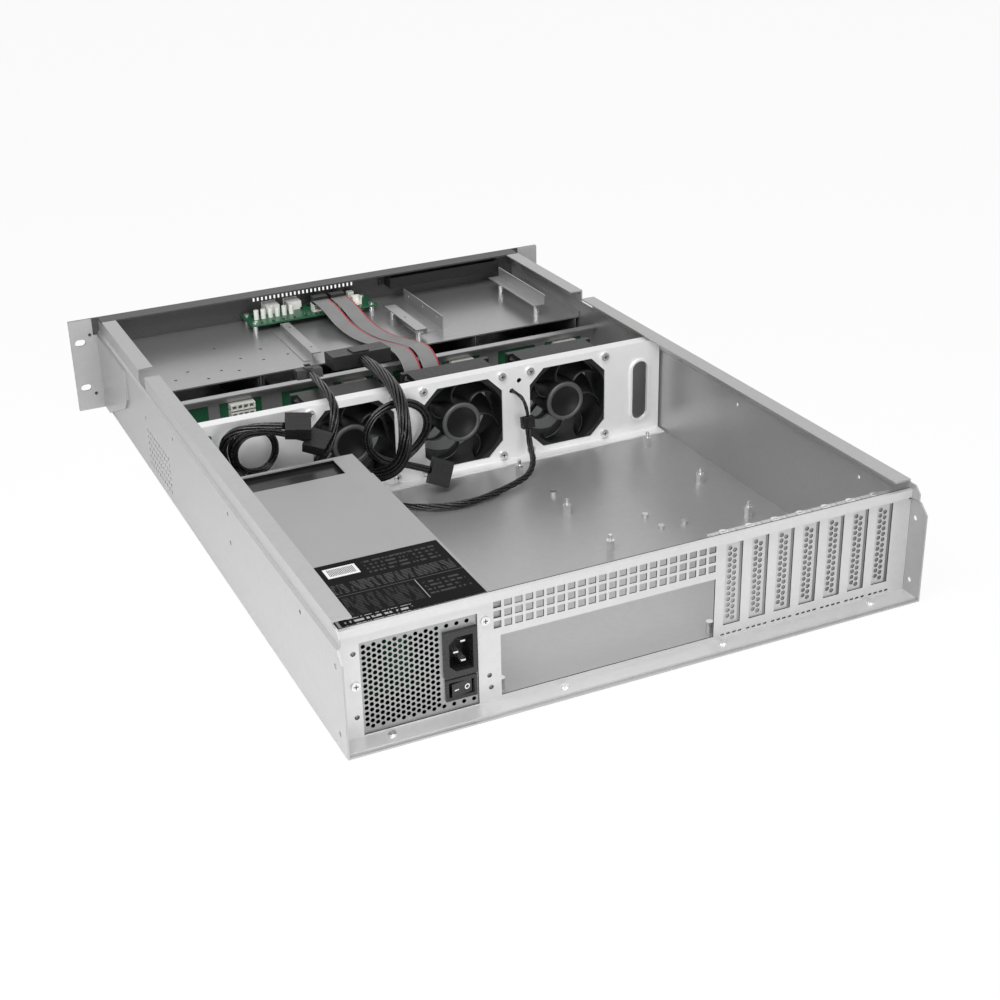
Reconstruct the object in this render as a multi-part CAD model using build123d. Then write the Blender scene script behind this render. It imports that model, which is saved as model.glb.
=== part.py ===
from build123d import *
import math
import os

# Empty two-unit rackmount server case, shown without its lid.
# X runs across the case, -Y is its front, +Z is up, and the origin is under its middle on the floor.
# All sizes are in millimetres.

# Outer sizes
body_width = 430.0
body_depth = 650.0
ear_width = 26.3
rack_unit = 44.45
units_high = 2
height_allowance = 0.9
ear_span = body_width + 2 * ear_width
case_height = units_high * rack_unit - height_allowance
half_width = body_width / 2
front_y = -body_depth / 2
rear_y = body_depth / 2

# Clearances that fits share, and how far a cut runs past the face that it opens
seat_gap = 0.3
contact_gap = 0.1
shaft_gap = 0.05
past = 1.0

# Folded steel body
sheet = 1.2
wall_step_z = 74.0
wall_step = 1.8
lid_flange = 13.0
lid_notch_start = 155.0
lid_notch_length = 22.0
tail_chamfer = 7.0
tail_top = 86.0
tail_rear_gap = 7.0
tail_corner = 5.0
tail_hole_radius = 2.0
tail_hole_heights = (12.3, 60.7)
tail_hole_setback = 5.5
wall_hole_radius = 1.6
wall_hole_z = 66.0
wall_hole_distances = (35.0, 265.0, 417.0, 575.0)
lone_holes = ((417.0, 43.0), (172.0, 50.0))
side_vent_radius = 1.6
side_vent_rows = 6
side_vent_columns = 10
side_vent_pitch_y = 7.5
side_vent_pitch_z = 6.0
side_vent_start = 175.0
side_vent_low_z = 10.0
foot_screw_outer = 33.8
foot_screw_inner = 60.0
foot_screw_setback = 6.0
foot_screw_radius = 1.6
foot_screw_head_height = 1.1
foot_screw_head_taper = 25
inner_half = half_width - sheet
upper_inner_half = inner_half - wall_step

# Rear panel
panel_setback = 17.0
panel_top = 82.0
roof_length = 2.8
lip_height = 5.9
panel_foot = 14.0
panel_y = rear_y - panel_setback
panel_inner_y = panel_y - sheet
panel_half = inner_half - contact_gap

# Card slots, counted from the board side, and the board area of the rear panel
slot_count = 7
slot_pitch = 20.32
last_slot_inset = 23.0
slot_first_x = (slot_count - 1) * slot_pitch + last_slot_inset - half_width
io_slot_gap = 14.0
io_right_x = slot_first_x + io_slot_gap
io_width = 158.75
io_height = 44.45
io_bottom_z = 5.0
vent_columns = 22
vent_rows = 3
vent_width = 5.4
vent_height = 5.2
vent_pitch_x = 7.5
vent_pitch_z = 7.3
vent_bottom_z = 55.0
vent_overhang = 4.6
io_post_radius = 2.6
io_post_height = 8.0
io_post_setback = 12.0

# Openings and covers of the card slots
slot_width = 13.2
slot_low_z = 12.0
slot_high_z = 73.6
slot_side_gap = 1.8
hook_count = 4
hook_pitch = 4.6
hook_width = 2.8
hook_low_z = 4.3
hook_high_z = 5.7
cover_width = 17.0
cover_sheet = 0.8
cover_foot_z = 5.0
cover_tab = 12.0
ledge_z = 76.2
ledge_depth = 13.0
ledge_margin = 3.0
ledge_lip = 5.0
cover_hole = 3.3
cover_hole_pitch = 4.3
cover_hole_margin = 0.4
cover_screw_radius = 1.5
cover_screw_head = 3.2
cover_screw_head_height = 2.0
cover_screw_shank = 4.0
cover_screw_setback = 7.0
screw_slot_length = 4.4
screw_slot_width = 0.8
screw_slot_depth = 0.9

# Power supply
psu_width = 100.0
psu_side_gap = 13.0
psu_x = half_width - psu_side_gap - psu_width / 2
psu_height = 70.0
psu_length = 260.0
psu_sheet = 1.0
psu_window_left_inset = 4.5
psu_window_right_inset = 16.5
psu_window_left = psu_x + psu_width / 2 - psu_window_left_inset
psu_window_right = psu_x - psu_width / 2 + psu_window_right_inset
psu_window_top = 69.0
psu_window_bottom = 3.0
psu_fixing_holes = ((49.5, 17.0), (49.5, 62.5), (-41.0, 22.0), (-42.0, 13.0))
psu_fixing_screws = ((49.5, 40.0), (-38.5, 63.0))
psu_fixing_radius = 1.7
psu_fixing_head = 3.0
psu_fixing_head_height = 1.8
psu_hole = 2.9
psu_hole_pitch = 4.0
psu_hole_margin = 0.9
inlet_side_gap = 0.7
inlet_z = 44.5
inlet_width = 23.0
inlet_x = psu_window_right + inlet_side_gap + inlet_width / 2
inlet_height = 33.0
inlet_depth = 22.0
inlet_proud = 3.0
inlet_rim = 2.1
socket_width = 16.5
socket_height = 24.5
socket_depth = 17.0
socket_chamfer = 4.5
pin_length = 14.0
pin_width = 4.0
pin_thickness = 2.0
pin_rise = 7.0
pin_offset = 2.5
switch_z = 18.5
switch_width = 21.5
switch_height = 15.5
switch_proud = 2.0
switch_depth = 12.0
rocker_well = 8.0
rocker_width = 17.0
rocker_height = 9.9
rocker_end_gap = 1.2
rocker_faces = (1.0, 2.2, 3.4)
rocker_backs = (-4.0, -5.0, -3.0)
rocker_tapers = (1.6, 1.2)
rocker_pin_radius = 0.8
rocker_pin_depth = 2.0
cover_side_start = 40.0
cover_side_drop = 8.0
film_right_inset = 17.0
film_rim = 3.0
film_x_low = psu_x - psu_width / 2 + film_right_inset
film_length = 31.0
film_drop = 3.0
film_tuck = 12.0
film_gap = 0.2
film_thickness = 0.4
film_side_drop = 20.0
label_length = 84.0
label_rear_gap = 14.0
label_thickness = 0.2
label_side_gap = 1.0
gland_offset = 2.0
gland_x = psu_x - gland_offset
gland_z = 38.0
gland_radius = 19.0
gland_neck = 15.0
gland_proud = 3.0
gland_grip = 2.0

# Circuit board inside the power supply, with its heat sinks, transformer and coils
board_side_gap = 4.0
board_front_gap = 20.0
board_rear_gap = 30.0
board_lift = 5.0
board_thickness = 1.6
board_post_radius = 3.0
board_post_inset = 6.0
sink_inset = 8.0
sink_thickness = 6.0
sink_end_gap = 40.0
sink_height = 43.0
transformer_width = 36.0
transformer_start = 110.0
transformer_length = 40.0
transformer_height = 39.0
coil_radius = 12.0
coil_height = 35.0
coil_places = (175.0, 205.0)

# Fan wall and fans
fan_wall_y = -27.0
fan_wall_top = 85.0
fan_wall_flange = 11.0
fan_size = 80.0
fan_depth = 38.0
fan_pitch = 97.8
fan_count = 3
fan_z = 43.0
fan_window = 72.0
fan_window_corner = 13.0
fan_hole_spacing = 71.5
fan_bore = 38.2
fan_hub = 17.5
fan_shaft = 2.0
fan_shaft_setback = 6.0
fan_seat = 3.0
fan_strut = 3.0
fan_flange = 5.0
fan_relief = 12.0
fan_hole_radius = 2.15
fan_screw_radius = 2.0
fan_screw_head = 3.6
fan_screw_head_height = 2.0
fan_screw_length = 8.0
fan_blades = 7
blade_tip_gap = 0.9
blade_root = 3.0
blade_front_gap = 2.0
blade_rear_gap = 3.0
blade_rise = 20.0
blade_camber = 3.0
blade_steps = 6
blade_offset_y = 0.9
blade_offset_z = -1.3
rotor_rear_gap = 2.0
rotor_front_gap = 4.0
rotor_cap = 3.5
cable_slot_inset = 23.0
cable_slot_x = cable_slot_inset - half_width
fan_slot_gap = 70.0
fan_first_x = cable_slot_x + fan_slot_gap
wall_corner_hole = 3.0
wall_corner_inset = 21.0
wall_corner_z = 74.0
cable_slot_z = 41.5
cable_slot_width = 15.0
cable_slot_height = 54.0
cable_slot_rim = 1.6
cable_slot_proud = 2.0
cable_slot_seat = 0.5
web_hole_radius = 2.2
web_holes = ((-3.0, 72.0), (4.0, 64.0))

# Drive bays, cage and trays
bay_columns = 4
bay_rows = 2
cage_side_gap = 6.0
bay_pitch_x = (body_width - 2 * cage_side_gap) / bay_columns
bay_pitch_z = 28.6
cage_sheet = 1.0
shelf_sheet = 0.8
cage_length = 147.0
tray_side_gap = 1.5
tray_width = bay_pitch_x - 2 * tray_side_gap
tray_height = 26.4
tray_length = 149.0
tray_wall = 1.5
bezel_depth = 12.0
tray_opening_width = 64.0
tray_opening_front = 30.0
tray_opening_rear = 25.0
pull_inset = 12.0
pull_floor = 4.0
pull_margin = 4.0
pull_setback = 1.0
pull_thickness = 2.0
tray_slot_count = 9
tray_slot_pitch = 8.0
tray_slot_width = 4.4
tray_slot_margin = 7.0
cover_lip = 5.0
cover_flange_start = 20.0
cover_hole_radius = 1.4
cover_holes = ((40, 23.5), (55, 38.5), (67, 13.5), (83, 27.5), (97, 19.5), (107, 48.5), (125, 35.5),
               (131, 63.5), (149, 38.5), (93, 85.5))
cover_notch = 6.0
cover_notches = (-30.0, 60.0)

# Backplane
backplane_setback = 176.0
backplane_y = front_y + backplane_setback
backplane_flange = 8.0
backplane_side_gap = 6.0
backplane_edge_gap = 2.0
socket_offset = 24.0
upper_window_width = 38.0
upper_window_low = 38.0
upper_window_high = 52.0
lower_window_width = 80.0
lower_window_low = 10.0
lower_window_high = 30.0
drive_socket_left = 24.0
drive_socket_right = 18.0
drive_socket_depth = 9.0
drive_socket_height = 6.0
drive_socket_rise = 6.0
power_socket_lows = (39.0, 46.0)
power_socket_width = 22.0
power_socket_depth = 9.0
power_socket_height = 5.5
contact_count = 4
contact_pitch = 5.08
contact_width = 3.6
contact_floor = 3.0
contact_margin = 1.0

# Front panel and rack ears
front_sheet = 1.5
front_flange = 17.0
bay_window_gap = 0.5
ear_sheet = 2.0
ear_leg = 108.0
ear_leg_rear_z = 44.0
ear_hole_low = 21.8
ear_hole_high = ear_hole_low + rack_unit
ear_hole_inset = 8.75
ear_hole_x = ear_span / 2 - ear_hole_inset
ear_hole_width = 10.0
ear_hole_height = 6.8
ear_notch = 5.0
ear_top_gap = 2.0
ear_leg_foot = 20.0
ear_leg_slope = 12.0
ear_pin_radius = 1.6
ear_pins = ((9.0, 15.0), (8.0, 73.0))
grille_count = 25
grille_pitch = 4.2
grille_slot = 2.2
grille_height = 4.2
grille_first_x = -38.5
grille_z = 79.6

# Front control board and its buttons
control_x = 14.0
control_width = 128.0
control_depth = 38.0
control_z = 68.0
control_front_gap = 3.0
control_pin_radius = 1.5
control_cap_radius = 2.8
control_cap_height = 1.6
control_post_side = 5.0
control_post_front = 6.0
control_post_rear = 5.0
port_xs = (26.0, 48.0)
port_width = 13.2
port_height = 7.8
port_depth = 13.0
port_wall = 0.8
port_floor = 1.6
port_back = 4.0
port_gap = 0.5
switch_width_x = 6.0
switch_front = 4.0
switch_length = 6.0
switch_top = 7.0
headers = ((6.0, 14.0), (-12.0, 12.0), (-32.0, 9.0))
header_front = 22.0
header_length = 8.0
header_height = 8.0
header_wall = 1.2
header_floor = 2.0
capacitor_count = 6
capacitor_radius = 2.4
capacitor_first_x = 68.0
capacitor_pitch = 7.0
capacitor_front = 22.0
capacitor_height = 9.0
button_radius = 3.4
button_flange = 1.0
button_proud = 1.0
button_stem_radius = 1.5
button_z = 72.5
power_button_x = -20.0
reset_button_x = -33.0
button_travel = 1.0

# Slim drive bay in the front panel
slim_x = -131.0
slim_width = 118.0
slim_height = 11.0
slim_z = 79.0
slim_depth = 20.0
slim_wall = 2.0
slim_flange = 6.0

# Brackets on the drive cage cover, with their ends as distances behind the front
bracket_sheet = 1.0
bracket_hole = 1.3
plain_bracket_x = 51.0
plain_bracket_ends = (47.0, 137.0)
plain_bracket_foot = 9.0
plain_bracket_arm = 8.0
plain_bracket_height = 7.0
plain_bracket_holes = (61.0, 121.0)
raised_bracket_x = -56.0
raised_bracket_ends = (57.0, 135.0)
raised_bracket_width = 10.0
raised_bracket_drop = 5.0
raised_bracket_posts = (63.0, 128.0)
angle_bracket_x = -84.0
angle_bracket_ends = (27.0, 121.0)
angle_bracket_foot = 24.0
angle_bracket_height = 14.0
angle_bracket_holes = (40.0, 75.0, 109.0)
angle_bracket_hole_z = 10.0
far_bracket_x = -178.0
far_bracket_ends = (35.0, 135.0)
far_bracket_width = 12.0
far_bracket_height = 10.0
far_bracket_posts = (50.0, 128.0)
post_radius = 2.6
raised_post_height = 9.0
far_post_height = 12.0

# Board standoffs
standoff_flat = 6.0
standoff_height = 9.0
standoff_stud = 4.5
standoff_pin_radius = 1.5
standoff_columns = (-183.0, -60.0, 90.0)
standoff_rows = (4.0, 89.0, 159.0)
low_posts = ((-112.0, 122.0), (-113.0, 145.0), (-133.0, 146.0), (-67.0, 52.0))
low_post_height = 3.0

# Cables
main_diameter = 9.0
lead_diameter = 6.0
fan_power_diameter = 5.0
fan_lead_diameter = 3.0
peripheral_diameter = 6.0
graphics_diameter = 5.0
ribbon_width = 16.0
ribbon_thickness = 1.0
main_plug_size = (52.0, 24.0, 12.0)
processor_plug_size = (22.0, 20.0, 10.0)
drive_plug_size = (22.0, 18.0, 9.0)
fan_plug_size = (11.0, 6.0, 10.0)
ribbon_plug_depth = 11.0
ribbon_plug_height = 7.0
ribbon_header_width = 14.0
ribbon_header_depth = 9.0
ribbon_header_drop = 4.0
ribbon_header_rise = 3.0
plug_columns = 12
plug_column_pitch = 4.2
plug_row_offset = 2.6
plug_cell = 2.8
plug_cell_depth = 8.0
plug_latch_size = (8.0, 2.0, 14.0)
bend_share = 0.45

# Routes of the loose cables, from where each leaves what holds it
main_route = [
    (150, 43.5, 47),
    (150, 16, 47),
    (132, -7, 41),
    (100, -13, 31),
    (71, 1, 25),
    (55, 25, 41),
    (50, 30, 68),
    (46, 13, 88),
    (42, -12, 94),
    (39, -46, 94),
    (36, -78, 90),
    (36, -99, 88),
]
processor_route = [
    (160, 43.5, 38),
    (160, 20, 38),
    (174, 1, 44),
    (191, -6, 60),
    (188, -2, 86),
    (165, 5, 92),
    (143, 12, 90),
]
drive_route = [
    (140, 43.5, 38),
    (140, 22, 38),
    (124, 10, 46),
    (107, 8, 62),
    (99, 4, 84),
    (94, -15, 93.5),
    (92, -44, 93.5),
    (87, -76, 89),
    (84, -98, 84),
]
fan_power_route = [
    (150, 43.5, 28),
    (150, 20, 28),
    (138, 1, 17),
    (115, -9, 10),
    (91, -10, 6),
    (67, 8, 5),
    (43, 32, 5.5),
    (14, 41, 5),
    (-14, 38, 5),
    (-40, 28, 5),
    (-60, 20, 6),
    (-73, 6, 11),
    (-75, -7, 22),
    (-75, -9, 36),
]
fan_lead_route = [
    (-69.1, -28.2, 64),
    (-70.5, -17, 65),
    (-73.5, -9, 58),
    (-75, -9, 46),
]
peripheral_route = [
    (142, 43.5, 29),
    (142, 21, 29),
    (127, 3, 27),
    (105, -4, 21),
    (80, -14, 18),
    (54, -18, 19),
    (30, -18, 29),
    (14, -15, 47),
    (14, -12, 66),
    (28, -9, 80),
    (48, -7, 83),
    (66, -6, 74),
    (73, -5, 56),
    (65, -4, 40),
    (48, -3, 32),
    (33, -2, 27),
    (19, 0, 21),
]
graphics_route = [
    (158, 43.5, 29.5),
    (158, 22, 29.5),
    (159, 7, 30),
    (165, -5, 34),
    (174, -12, 43),
    (180.4, -14, 60.3),
    (180.6, -13.3, 69.7),
    (175.7, -12.7, 78),
    (167.7, -12, 82.7),
    (158.3, -11.3, 82.5),
    (150.2, -10.7, 77.7),
    (145.4, -10, 69.7),
    (145.6, -9.3, 60.3),
    (150.3, -8.7, 52.2),
    (158.3, -8, 47.6),
    (167.7, -7.3, 47.8),
    (175.5, -6.7, 52.5),
    (180, -6, 60.5),
    (180, -5.3, 69.6),
    (175.4, -4.7, 77.3),
    (167.7, -4, 82),
    (150, 2, 83),
    (138, 10, 80.5),
    (128, 18, 78),
]

# Routes of the two ribbon cables: x, distance behind the front and height
ribbon_routes = [
    [(6, 35, 80), (5, 55, 80), (0, 85, 67), (-7, 120, 64), (-15, 153, 68), (-19, 180, 72),
     (-20, 199, 62), (-20, 201, 47), (-20, 187, 43)],
    [(-12, 35, 80), (-13, 55, 80), (-18, 85, 67), (-25, 120, 64), (-33, 153, 68), (-37, 180, 72),
     (-38, 199, 62), (-38, 201, 47), (-38, 187, 43)],
]


def block(x_low, x_high, y_low, y_high, z_low, z_high):
    """A box between two values on each axis."""
    size = Box(x_high - x_low, y_high - y_low, z_high - z_low)
    return Pos((x_low + x_high) / 2, (y_low + y_high) / 2, (z_low + z_high) / 2) * size


def rod_x(radius, x_low, x_high, y, z):
    """A round bar along X."""
    return Pos((x_low + x_high) / 2, y, z) * Rot(0, 90, 0) * Cylinder(radius, x_high - x_low)


def rod_y(radius, x, y_low, y_high, z):
    """A round bar along Y."""
    return Pos(x, (y_low + y_high) / 2, z) * Rot(90, 0, 0) * Cylinder(radius, y_high - y_low)


def rod_z(radius, x, y, z_low, z_high):
    """A round bar along Z."""
    return Pos(x, y, (z_low + z_high) / 2) * Cylinder(radius, z_high - z_low)


def outline(points):
    """A flat face inside a closed run of straight lines."""
    return make_face(Polyline(*points, close=True))


def prism_x(points, x_low, x_high):
    """An outline in Y and Z, drawn out along X."""
    return extrude(Plane.YZ.offset(x_low) * outline(points), x_high - x_low, dir=(1, 0, 0))


def prism_y(points, y_low, y_high):
    """An outline in X and Z, drawn out along Y."""
    return extrude(Plane.XZ.offset(-y_high) * outline(points), y_high - y_low, dir=(0, -1, 0))


def prism_z(points, z_low, z_high):
    """An outline in X and Y, drawn out along Z."""
    return extrude(Plane.XY.offset(z_low) * outline(points), z_high - z_low, dir=(0, 0, 1))


def hex_grid(x_low, x_high, z_low, z_high, pitch):
    """Centres of a close-packed grid of holes, standing rows side by side."""
    row_rise = pitch * math.sqrt(3) / 2
    columns = int((x_high - x_low) / row_rise) + 1
    rows = int((z_high - z_low - pitch / 2) / pitch) + 1
    spare_x = (x_high - x_low - (columns - 1) * row_rise) / 2
    spare_z = (z_high - z_low - pitch / 2 - (rows - 1) * pitch) / 2
    centres = []
    for column in range(columns):
        shift = pitch / 2 if column % 2 else 0
        for row in range(rows):
            centres.append((x_low + spare_x + column * row_rise, z_low + spare_z + shift + row * pitch))
    return centres


def plate_y(x_low, x_high, z_low, z_high, y_low, y_high, holes, radius):
    """An upright plate across the case with a set of round holes."""
    face = Pos((x_low + x_high) / 2, (z_low + z_high) / 2) * Rectangle(x_high - x_low, z_high - z_low)
    if holes:
        face -= Sketch() + [Pos(x, z) * Circle(radius) for x, z in holes]
    return extrude(Plane.XZ.offset(-y_high) * face, y_high - y_low, dir=(0, -1, 0))


def save(name, shape):
    """Writes one piece to its own file."""
    export_step(shape, "parts/" + name + ".step")


def group(solids):
    """Several loose solids as one node."""
    flat = []
    for solid in solids:
        flat.extend(solid.solids())
    return Compound(children=flat)


def slot_x(index):
    """Middle of one card slot, counted from the board side."""
    return slot_first_x - index * slot_pitch


def fan_x(index):
    """Middle of one fan, counted from the case's left side."""
    return fan_first_x + index * fan_pitch


def bay_x(column):
    """Middle of one column of drive bays."""
    return (column - (bay_columns - 1) / 2) * bay_pitch_x


def bay_floor(row):
    """Height of the surface that the trays of a row slide on."""
    return sheet + row * (bay_pitch_z + shelf_sheet)


cage_cover_z = bay_floor(bay_rows) - shelf_sheet
cage_cover_top = cage_cover_z + sheet
body_front_y = front_y + front_sheet
cage_rear_y = body_front_y + cage_length


# Floor and side walls, folded from one sheet
def side_vents():
    """Small round vents low in the wall beside the fans."""
    cuts = []
    for row in range(side_vent_rows):
        for column in range(side_vent_columns):
            y = front_y + side_vent_start + column * side_vent_pitch_y
            z = side_vent_low_z + row * side_vent_pitch_z
            cuts.append(rod_x(side_vent_radius, inner_half - past, half_width + past, y, z))
    return cuts


def chassis_tray():
    h = case_height
    step_z = wall_step_z + wall_step
    upper_outer = half_width - wall_step
    right = [
        (half_width, 0),
        (half_width, wall_step_z),
        (upper_outer, step_z),
        (upper_outer, h),
        (upper_outer - lid_flange, h),
        (upper_outer - lid_flange, h - sheet),
        (upper_inner_half, h - sheet),
        (upper_inner_half, step_z),
        (inner_half, wall_step_z),
        (inner_half, sheet),
    ]
    left = [(-x, z) for x, z in reversed(right)]
    body = prism_y(right + left, body_front_y, rear_y)
    flange_end = panel_inner_y - seat_gap
    band_end = rear_y - tail_rear_gap
    notch_low = front_y + lid_notch_start
    for side in (-1, 1):
        x_low, x_high = sorted((side * (upper_outer - lid_flange - past), side * (half_width + past)))
        flange_low, flange_high = sorted((side * (upper_outer - lid_flange - past), side * upper_inner_half))
        body -= block(x_low, x_high, notch_low, notch_low + lid_notch_length, step_z + past, h + past)
        body -= block(x_low, x_high, band_end, rear_y + past, wall_step_z, h + past)
        body -= block(x_low, x_high, flange_end, band_end + past, tail_top, h + past)
        body -= block(flange_low, flange_high, flange_end, band_end + past, step_z, h + past)
        body -= block(x_low, x_high, body_front_y - past, front_y + front_flange + past,
                      h - sheet - past, h + past)
        for end, top, cut in ((band_end, tail_top, tail_corner), (rear_y, wall_step_z, tail_chamfer)):
            corner = [
                (end - cut, top),
                (end - cut, top + past),
                (end + past, top + past),
                (end + past, top - cut),
                (end, top - cut),
            ]
            body -= prism_x(corner, x_low, x_high)
        for z in tail_hole_heights:
            body -= rod_x(tail_hole_radius, x_low, x_high, panel_y + tail_hole_setback, z)
        for distance in wall_hole_distances:
            body -= rod_x(wall_hole_radius, x_low, x_high, front_y + distance, wall_hole_z)
    body -= side_vents()
    for distance, z in lone_holes:
        body -= rod_x(wall_hole_radius, inner_half - past, half_width + past, front_y + distance, z)
    for x in panel_screw_xs():
        body -= rod_z(foot_screw_radius + contact_gap, x, panel_y + foot_screw_setback, -past, sheet + past)
    return body


def panel_screw_xs():
    """Places of the screws that hold the rear panel's foot to the floor."""
    outer = half_width - foot_screw_outer
    return (-outer, -foot_screw_inner, foot_screw_inner, outer)


# Rear panel, folded out at its foot and over the back at its top
def rear_panel():
    roof_rear = panel_y + roof_length
    profile = [
        (panel_inner_y, sheet),
        (panel_y + panel_foot, sheet),
        (panel_y + panel_foot, 2 * sheet),
        (panel_y, 2 * sheet),
        (panel_y, panel_top - sheet),
        (roof_rear - sheet, panel_top - sheet),
        (roof_rear - sheet, panel_top - lip_height),
        (roof_rear, panel_top - lip_height),
        (roof_rear, panel_top),
        (panel_inner_y, panel_top),
    ]
    panel = prism_x(profile, -panel_half, panel_half)
    low, high = panel_inner_y - past, panel_y + past
    for side in (-1, 1):
        x_low, x_high = sorted((side * (upper_inner_half - contact_gap), side * (panel_half + past)))
        panel -= block(x_low, x_high, low, rear_y + past, wall_step_z - past, panel_top + past)
    io_left_x = io_right_x + io_width
    panel -= block(io_right_x, io_left_x, low, high, io_bottom_z, io_bottom_z + io_height)
    panel -= block(psu_window_right, psu_window_left, low, high, psu_window_bottom, psu_window_top)
    holes = []
    for row in range(vent_rows):
        for column in range(vent_columns):
            x = io_left_x + vent_overhang - column * vent_pitch_x
            z = vent_bottom_z + row * vent_pitch_z
            holes.append(block(x - vent_width, x, low, high, z, z + vent_height))
    for index in range(slot_count):
        x = slot_x(index)
        holes.append(block(x - slot_width / 2, x + slot_width / 2, low, high, slot_low_z, slot_high_z))
        for hook in range(hook_count):
            hook_x = x + (hook - (hook_count - 1) / 2) * hook_pitch
            holes.append(block(hook_x - hook_width / 2, hook_x + hook_width / 2, low, high,
                               hook_low_z, hook_high_z))
    for offset, z in psu_fixing_holes:
        holes.append(rod_y(psu_fixing_radius, psu_x + offset, low, high, z))
    panel -= holes
    for x in panel_screw_xs():
        panel -= rod_z(foot_screw_radius + contact_gap, x, panel_y + foot_screw_setback, sheet - past,
                       2 * sheet + past)
    return panel


# Bracket-tab ledge inside the rear panel, above the card slots
def slot_rail():
    x_high = slot_x(0) + slot_pitch / 2 + ledge_margin
    x_low = slot_x(slot_count - 1) - slot_pitch / 2 - ledge_margin
    y_low = panel_inner_y - ledge_depth
    rail = block(x_low, x_high, y_low, panel_inner_y, ledge_z - sheet, ledge_z)
    rail += block(x_low, x_high, y_low, y_low + sheet, ledge_z - ledge_lip, ledge_z - sheet)
    for index in range(slot_count):
        x = cover_x(index)
        half = cover_width / 2 + contact_gap
        rail -= block(x - half, x + half, panel_inner_y - cover_sheet - contact_gap, panel_inner_y + past,
                      ledge_z - sheet - past, ledge_z + past)
        rail -= rod_z(cover_screw_radius + contact_gap, x, cover_screw_y(), ledge_z - sheet - past,
                      ledge_z + past)
    return rail


def cover_screw_y():
    """Line of the screws that hold the slot covers."""
    return panel_inner_y - cover_screw_setback


def cover_x(index):
    """Middle of one slot cover, which stops short of its opening's right edge."""
    return slot_x(index) - slot_width / 2 + slot_side_gap + cover_width / 2


def slot_cover(index):
    """One perforated blank behind a card slot, with its tab on the ledge."""
    x = cover_x(index)
    half = cover_width / 2
    margin = cover_hole / 2 + cover_hole_margin
    holes = hex_grid(x - half + margin, slot_x(index) + slot_width / 2 - margin,
                     slot_low_z + margin, slot_high_z - margin, cover_hole_pitch)
    face_y = panel_inner_y - cover_sheet
    top = ledge_z + cover_sheet
    cover = plate_y(x - half, x + half, cover_foot_z, top, face_y, panel_inner_y, holes, cover_hole / 2)
    cover += block(x - half, x + half, panel_inner_y - cover_tab, panel_inner_y, ledge_z, top)
    cover -= rod_z(cover_screw_radius + contact_gap, x, cover_screw_y(), ledge_z - past, top + past)
    return cover


def slot_cover_screws():
    screws = []
    y = cover_screw_y()
    top = ledge_z + cover_sheet
    head_top = top + cover_screw_head_height
    for index in range(slot_count):
        x = cover_x(index)
        head = rod_z(cover_screw_head, x, y, top, head_top)
        head -= block(x - screw_slot_length / 2, x + screw_slot_length / 2, y - screw_slot_width / 2,
                      y + screw_slot_width / 2, head_top - screw_slot_depth, head_top + past)
        screws.append(head + rod_z(cover_screw_radius, x, y, ledge_z - cover_screw_shank, top))
    return group(screws)


def case_screws():
    """Screws of the rear panel's foot, the supply's fixings and the drive cage cover."""
    screws = []
    y = panel_y + foot_screw_setback
    for x in panel_screw_xs():
        disc = Circle(2 * foot_screw_radius)
        head = Pos(x, y, 2 * sheet) * extrude(disc, foot_screw_head_height, taper=foot_screw_head_taper)
        screws.append(head + rod_z(foot_screw_radius, x, y, contact_gap, 2 * sheet))
    for offset, z in psu_fixing_screws:
        screws.append(rod_y(psu_fixing_head, psu_x + offset, panel_y, panel_y + psu_fixing_head_height, z))
    post_y = panel_inner_y - io_post_setback
    for x in (io_right_x - 2 * io_post_radius, psu_x - psu_width / 2 - 2 * io_post_radius):
        screws.append(rod_z(io_post_radius, x, post_y, sheet, sheet + io_post_height))
    return group(screws)


# Power supply
def psu_case():
    x_low, x_high = psu_x - psu_width / 2, psu_x + psu_width / 2
    y_low, y_high = psu_front_y(), psu_rear_y()
    z_low = sheet + seat_gap
    z_high = z_low + psu_height - psu_sheet
    shell = block(x_low, x_high, y_low, y_high, z_low, z_high)
    shell -= block(x_low + psu_sheet, x_high - psu_sheet, y_low + psu_sheet, y_high - psu_sheet,
                   z_low + psu_sheet, z_high + past)
    margin = psu_hole / 2 + psu_hole_margin
    centres = hex_grid(psu_window_right + margin, psu_window_left - margin,
                       psu_window_bottom + margin, psu_window_top - margin, psu_hole_pitch)
    keep = []
    for x, z in centres:
        beside_inlet = x > inlet_x + inlet_width / 2 + margin
        above_inlet = z > inlet_z + inlet_height / 2 + margin
        below_switch = z < switch_z - switch_height / 2 - margin
        if beside_inlet or above_inlet or below_switch:
            keep.append((x, z))
    face = Sketch() + [Pos(x, z) * Circle(psu_hole / 2) for x, z in keep]
    shell -= extrude(Plane.XZ.offset(-y_high - past) * face, psu_sheet + 2 * past, dir=(0, -1, 0))
    back = y_high - psu_sheet - past
    rim = inlet_rim - contact_gap
    shell -= block(inlet_x - inlet_width / 2 + rim, inlet_x + inlet_width / 2 - rim, back, y_high + past,
                   inlet_z - inlet_height / 2 + rim, inlet_z + inlet_height / 2 - rim)
    shell -= block(inlet_x - switch_width / 2 + rim, inlet_x + switch_width / 2 - rim, back, y_high + past,
                   switch_z - switch_height / 2 + rim, switch_z + switch_height / 2 - rim)
    shell -= rod_y(gland_neck + contact_gap, gland_x, y_low - past, y_low + psu_sheet + past, gland_z)
    return shell


def psu_rear_y():
    """Rear face of the power supply."""
    return panel_inner_y - seat_gap


def psu_front_y():
    """Cable end of the power supply."""
    return psu_rear_y() - psu_length


def psu_top_z():
    """Underside of the power supply's cover."""
    return sheet + seat_gap + psu_height - psu_sheet


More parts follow.
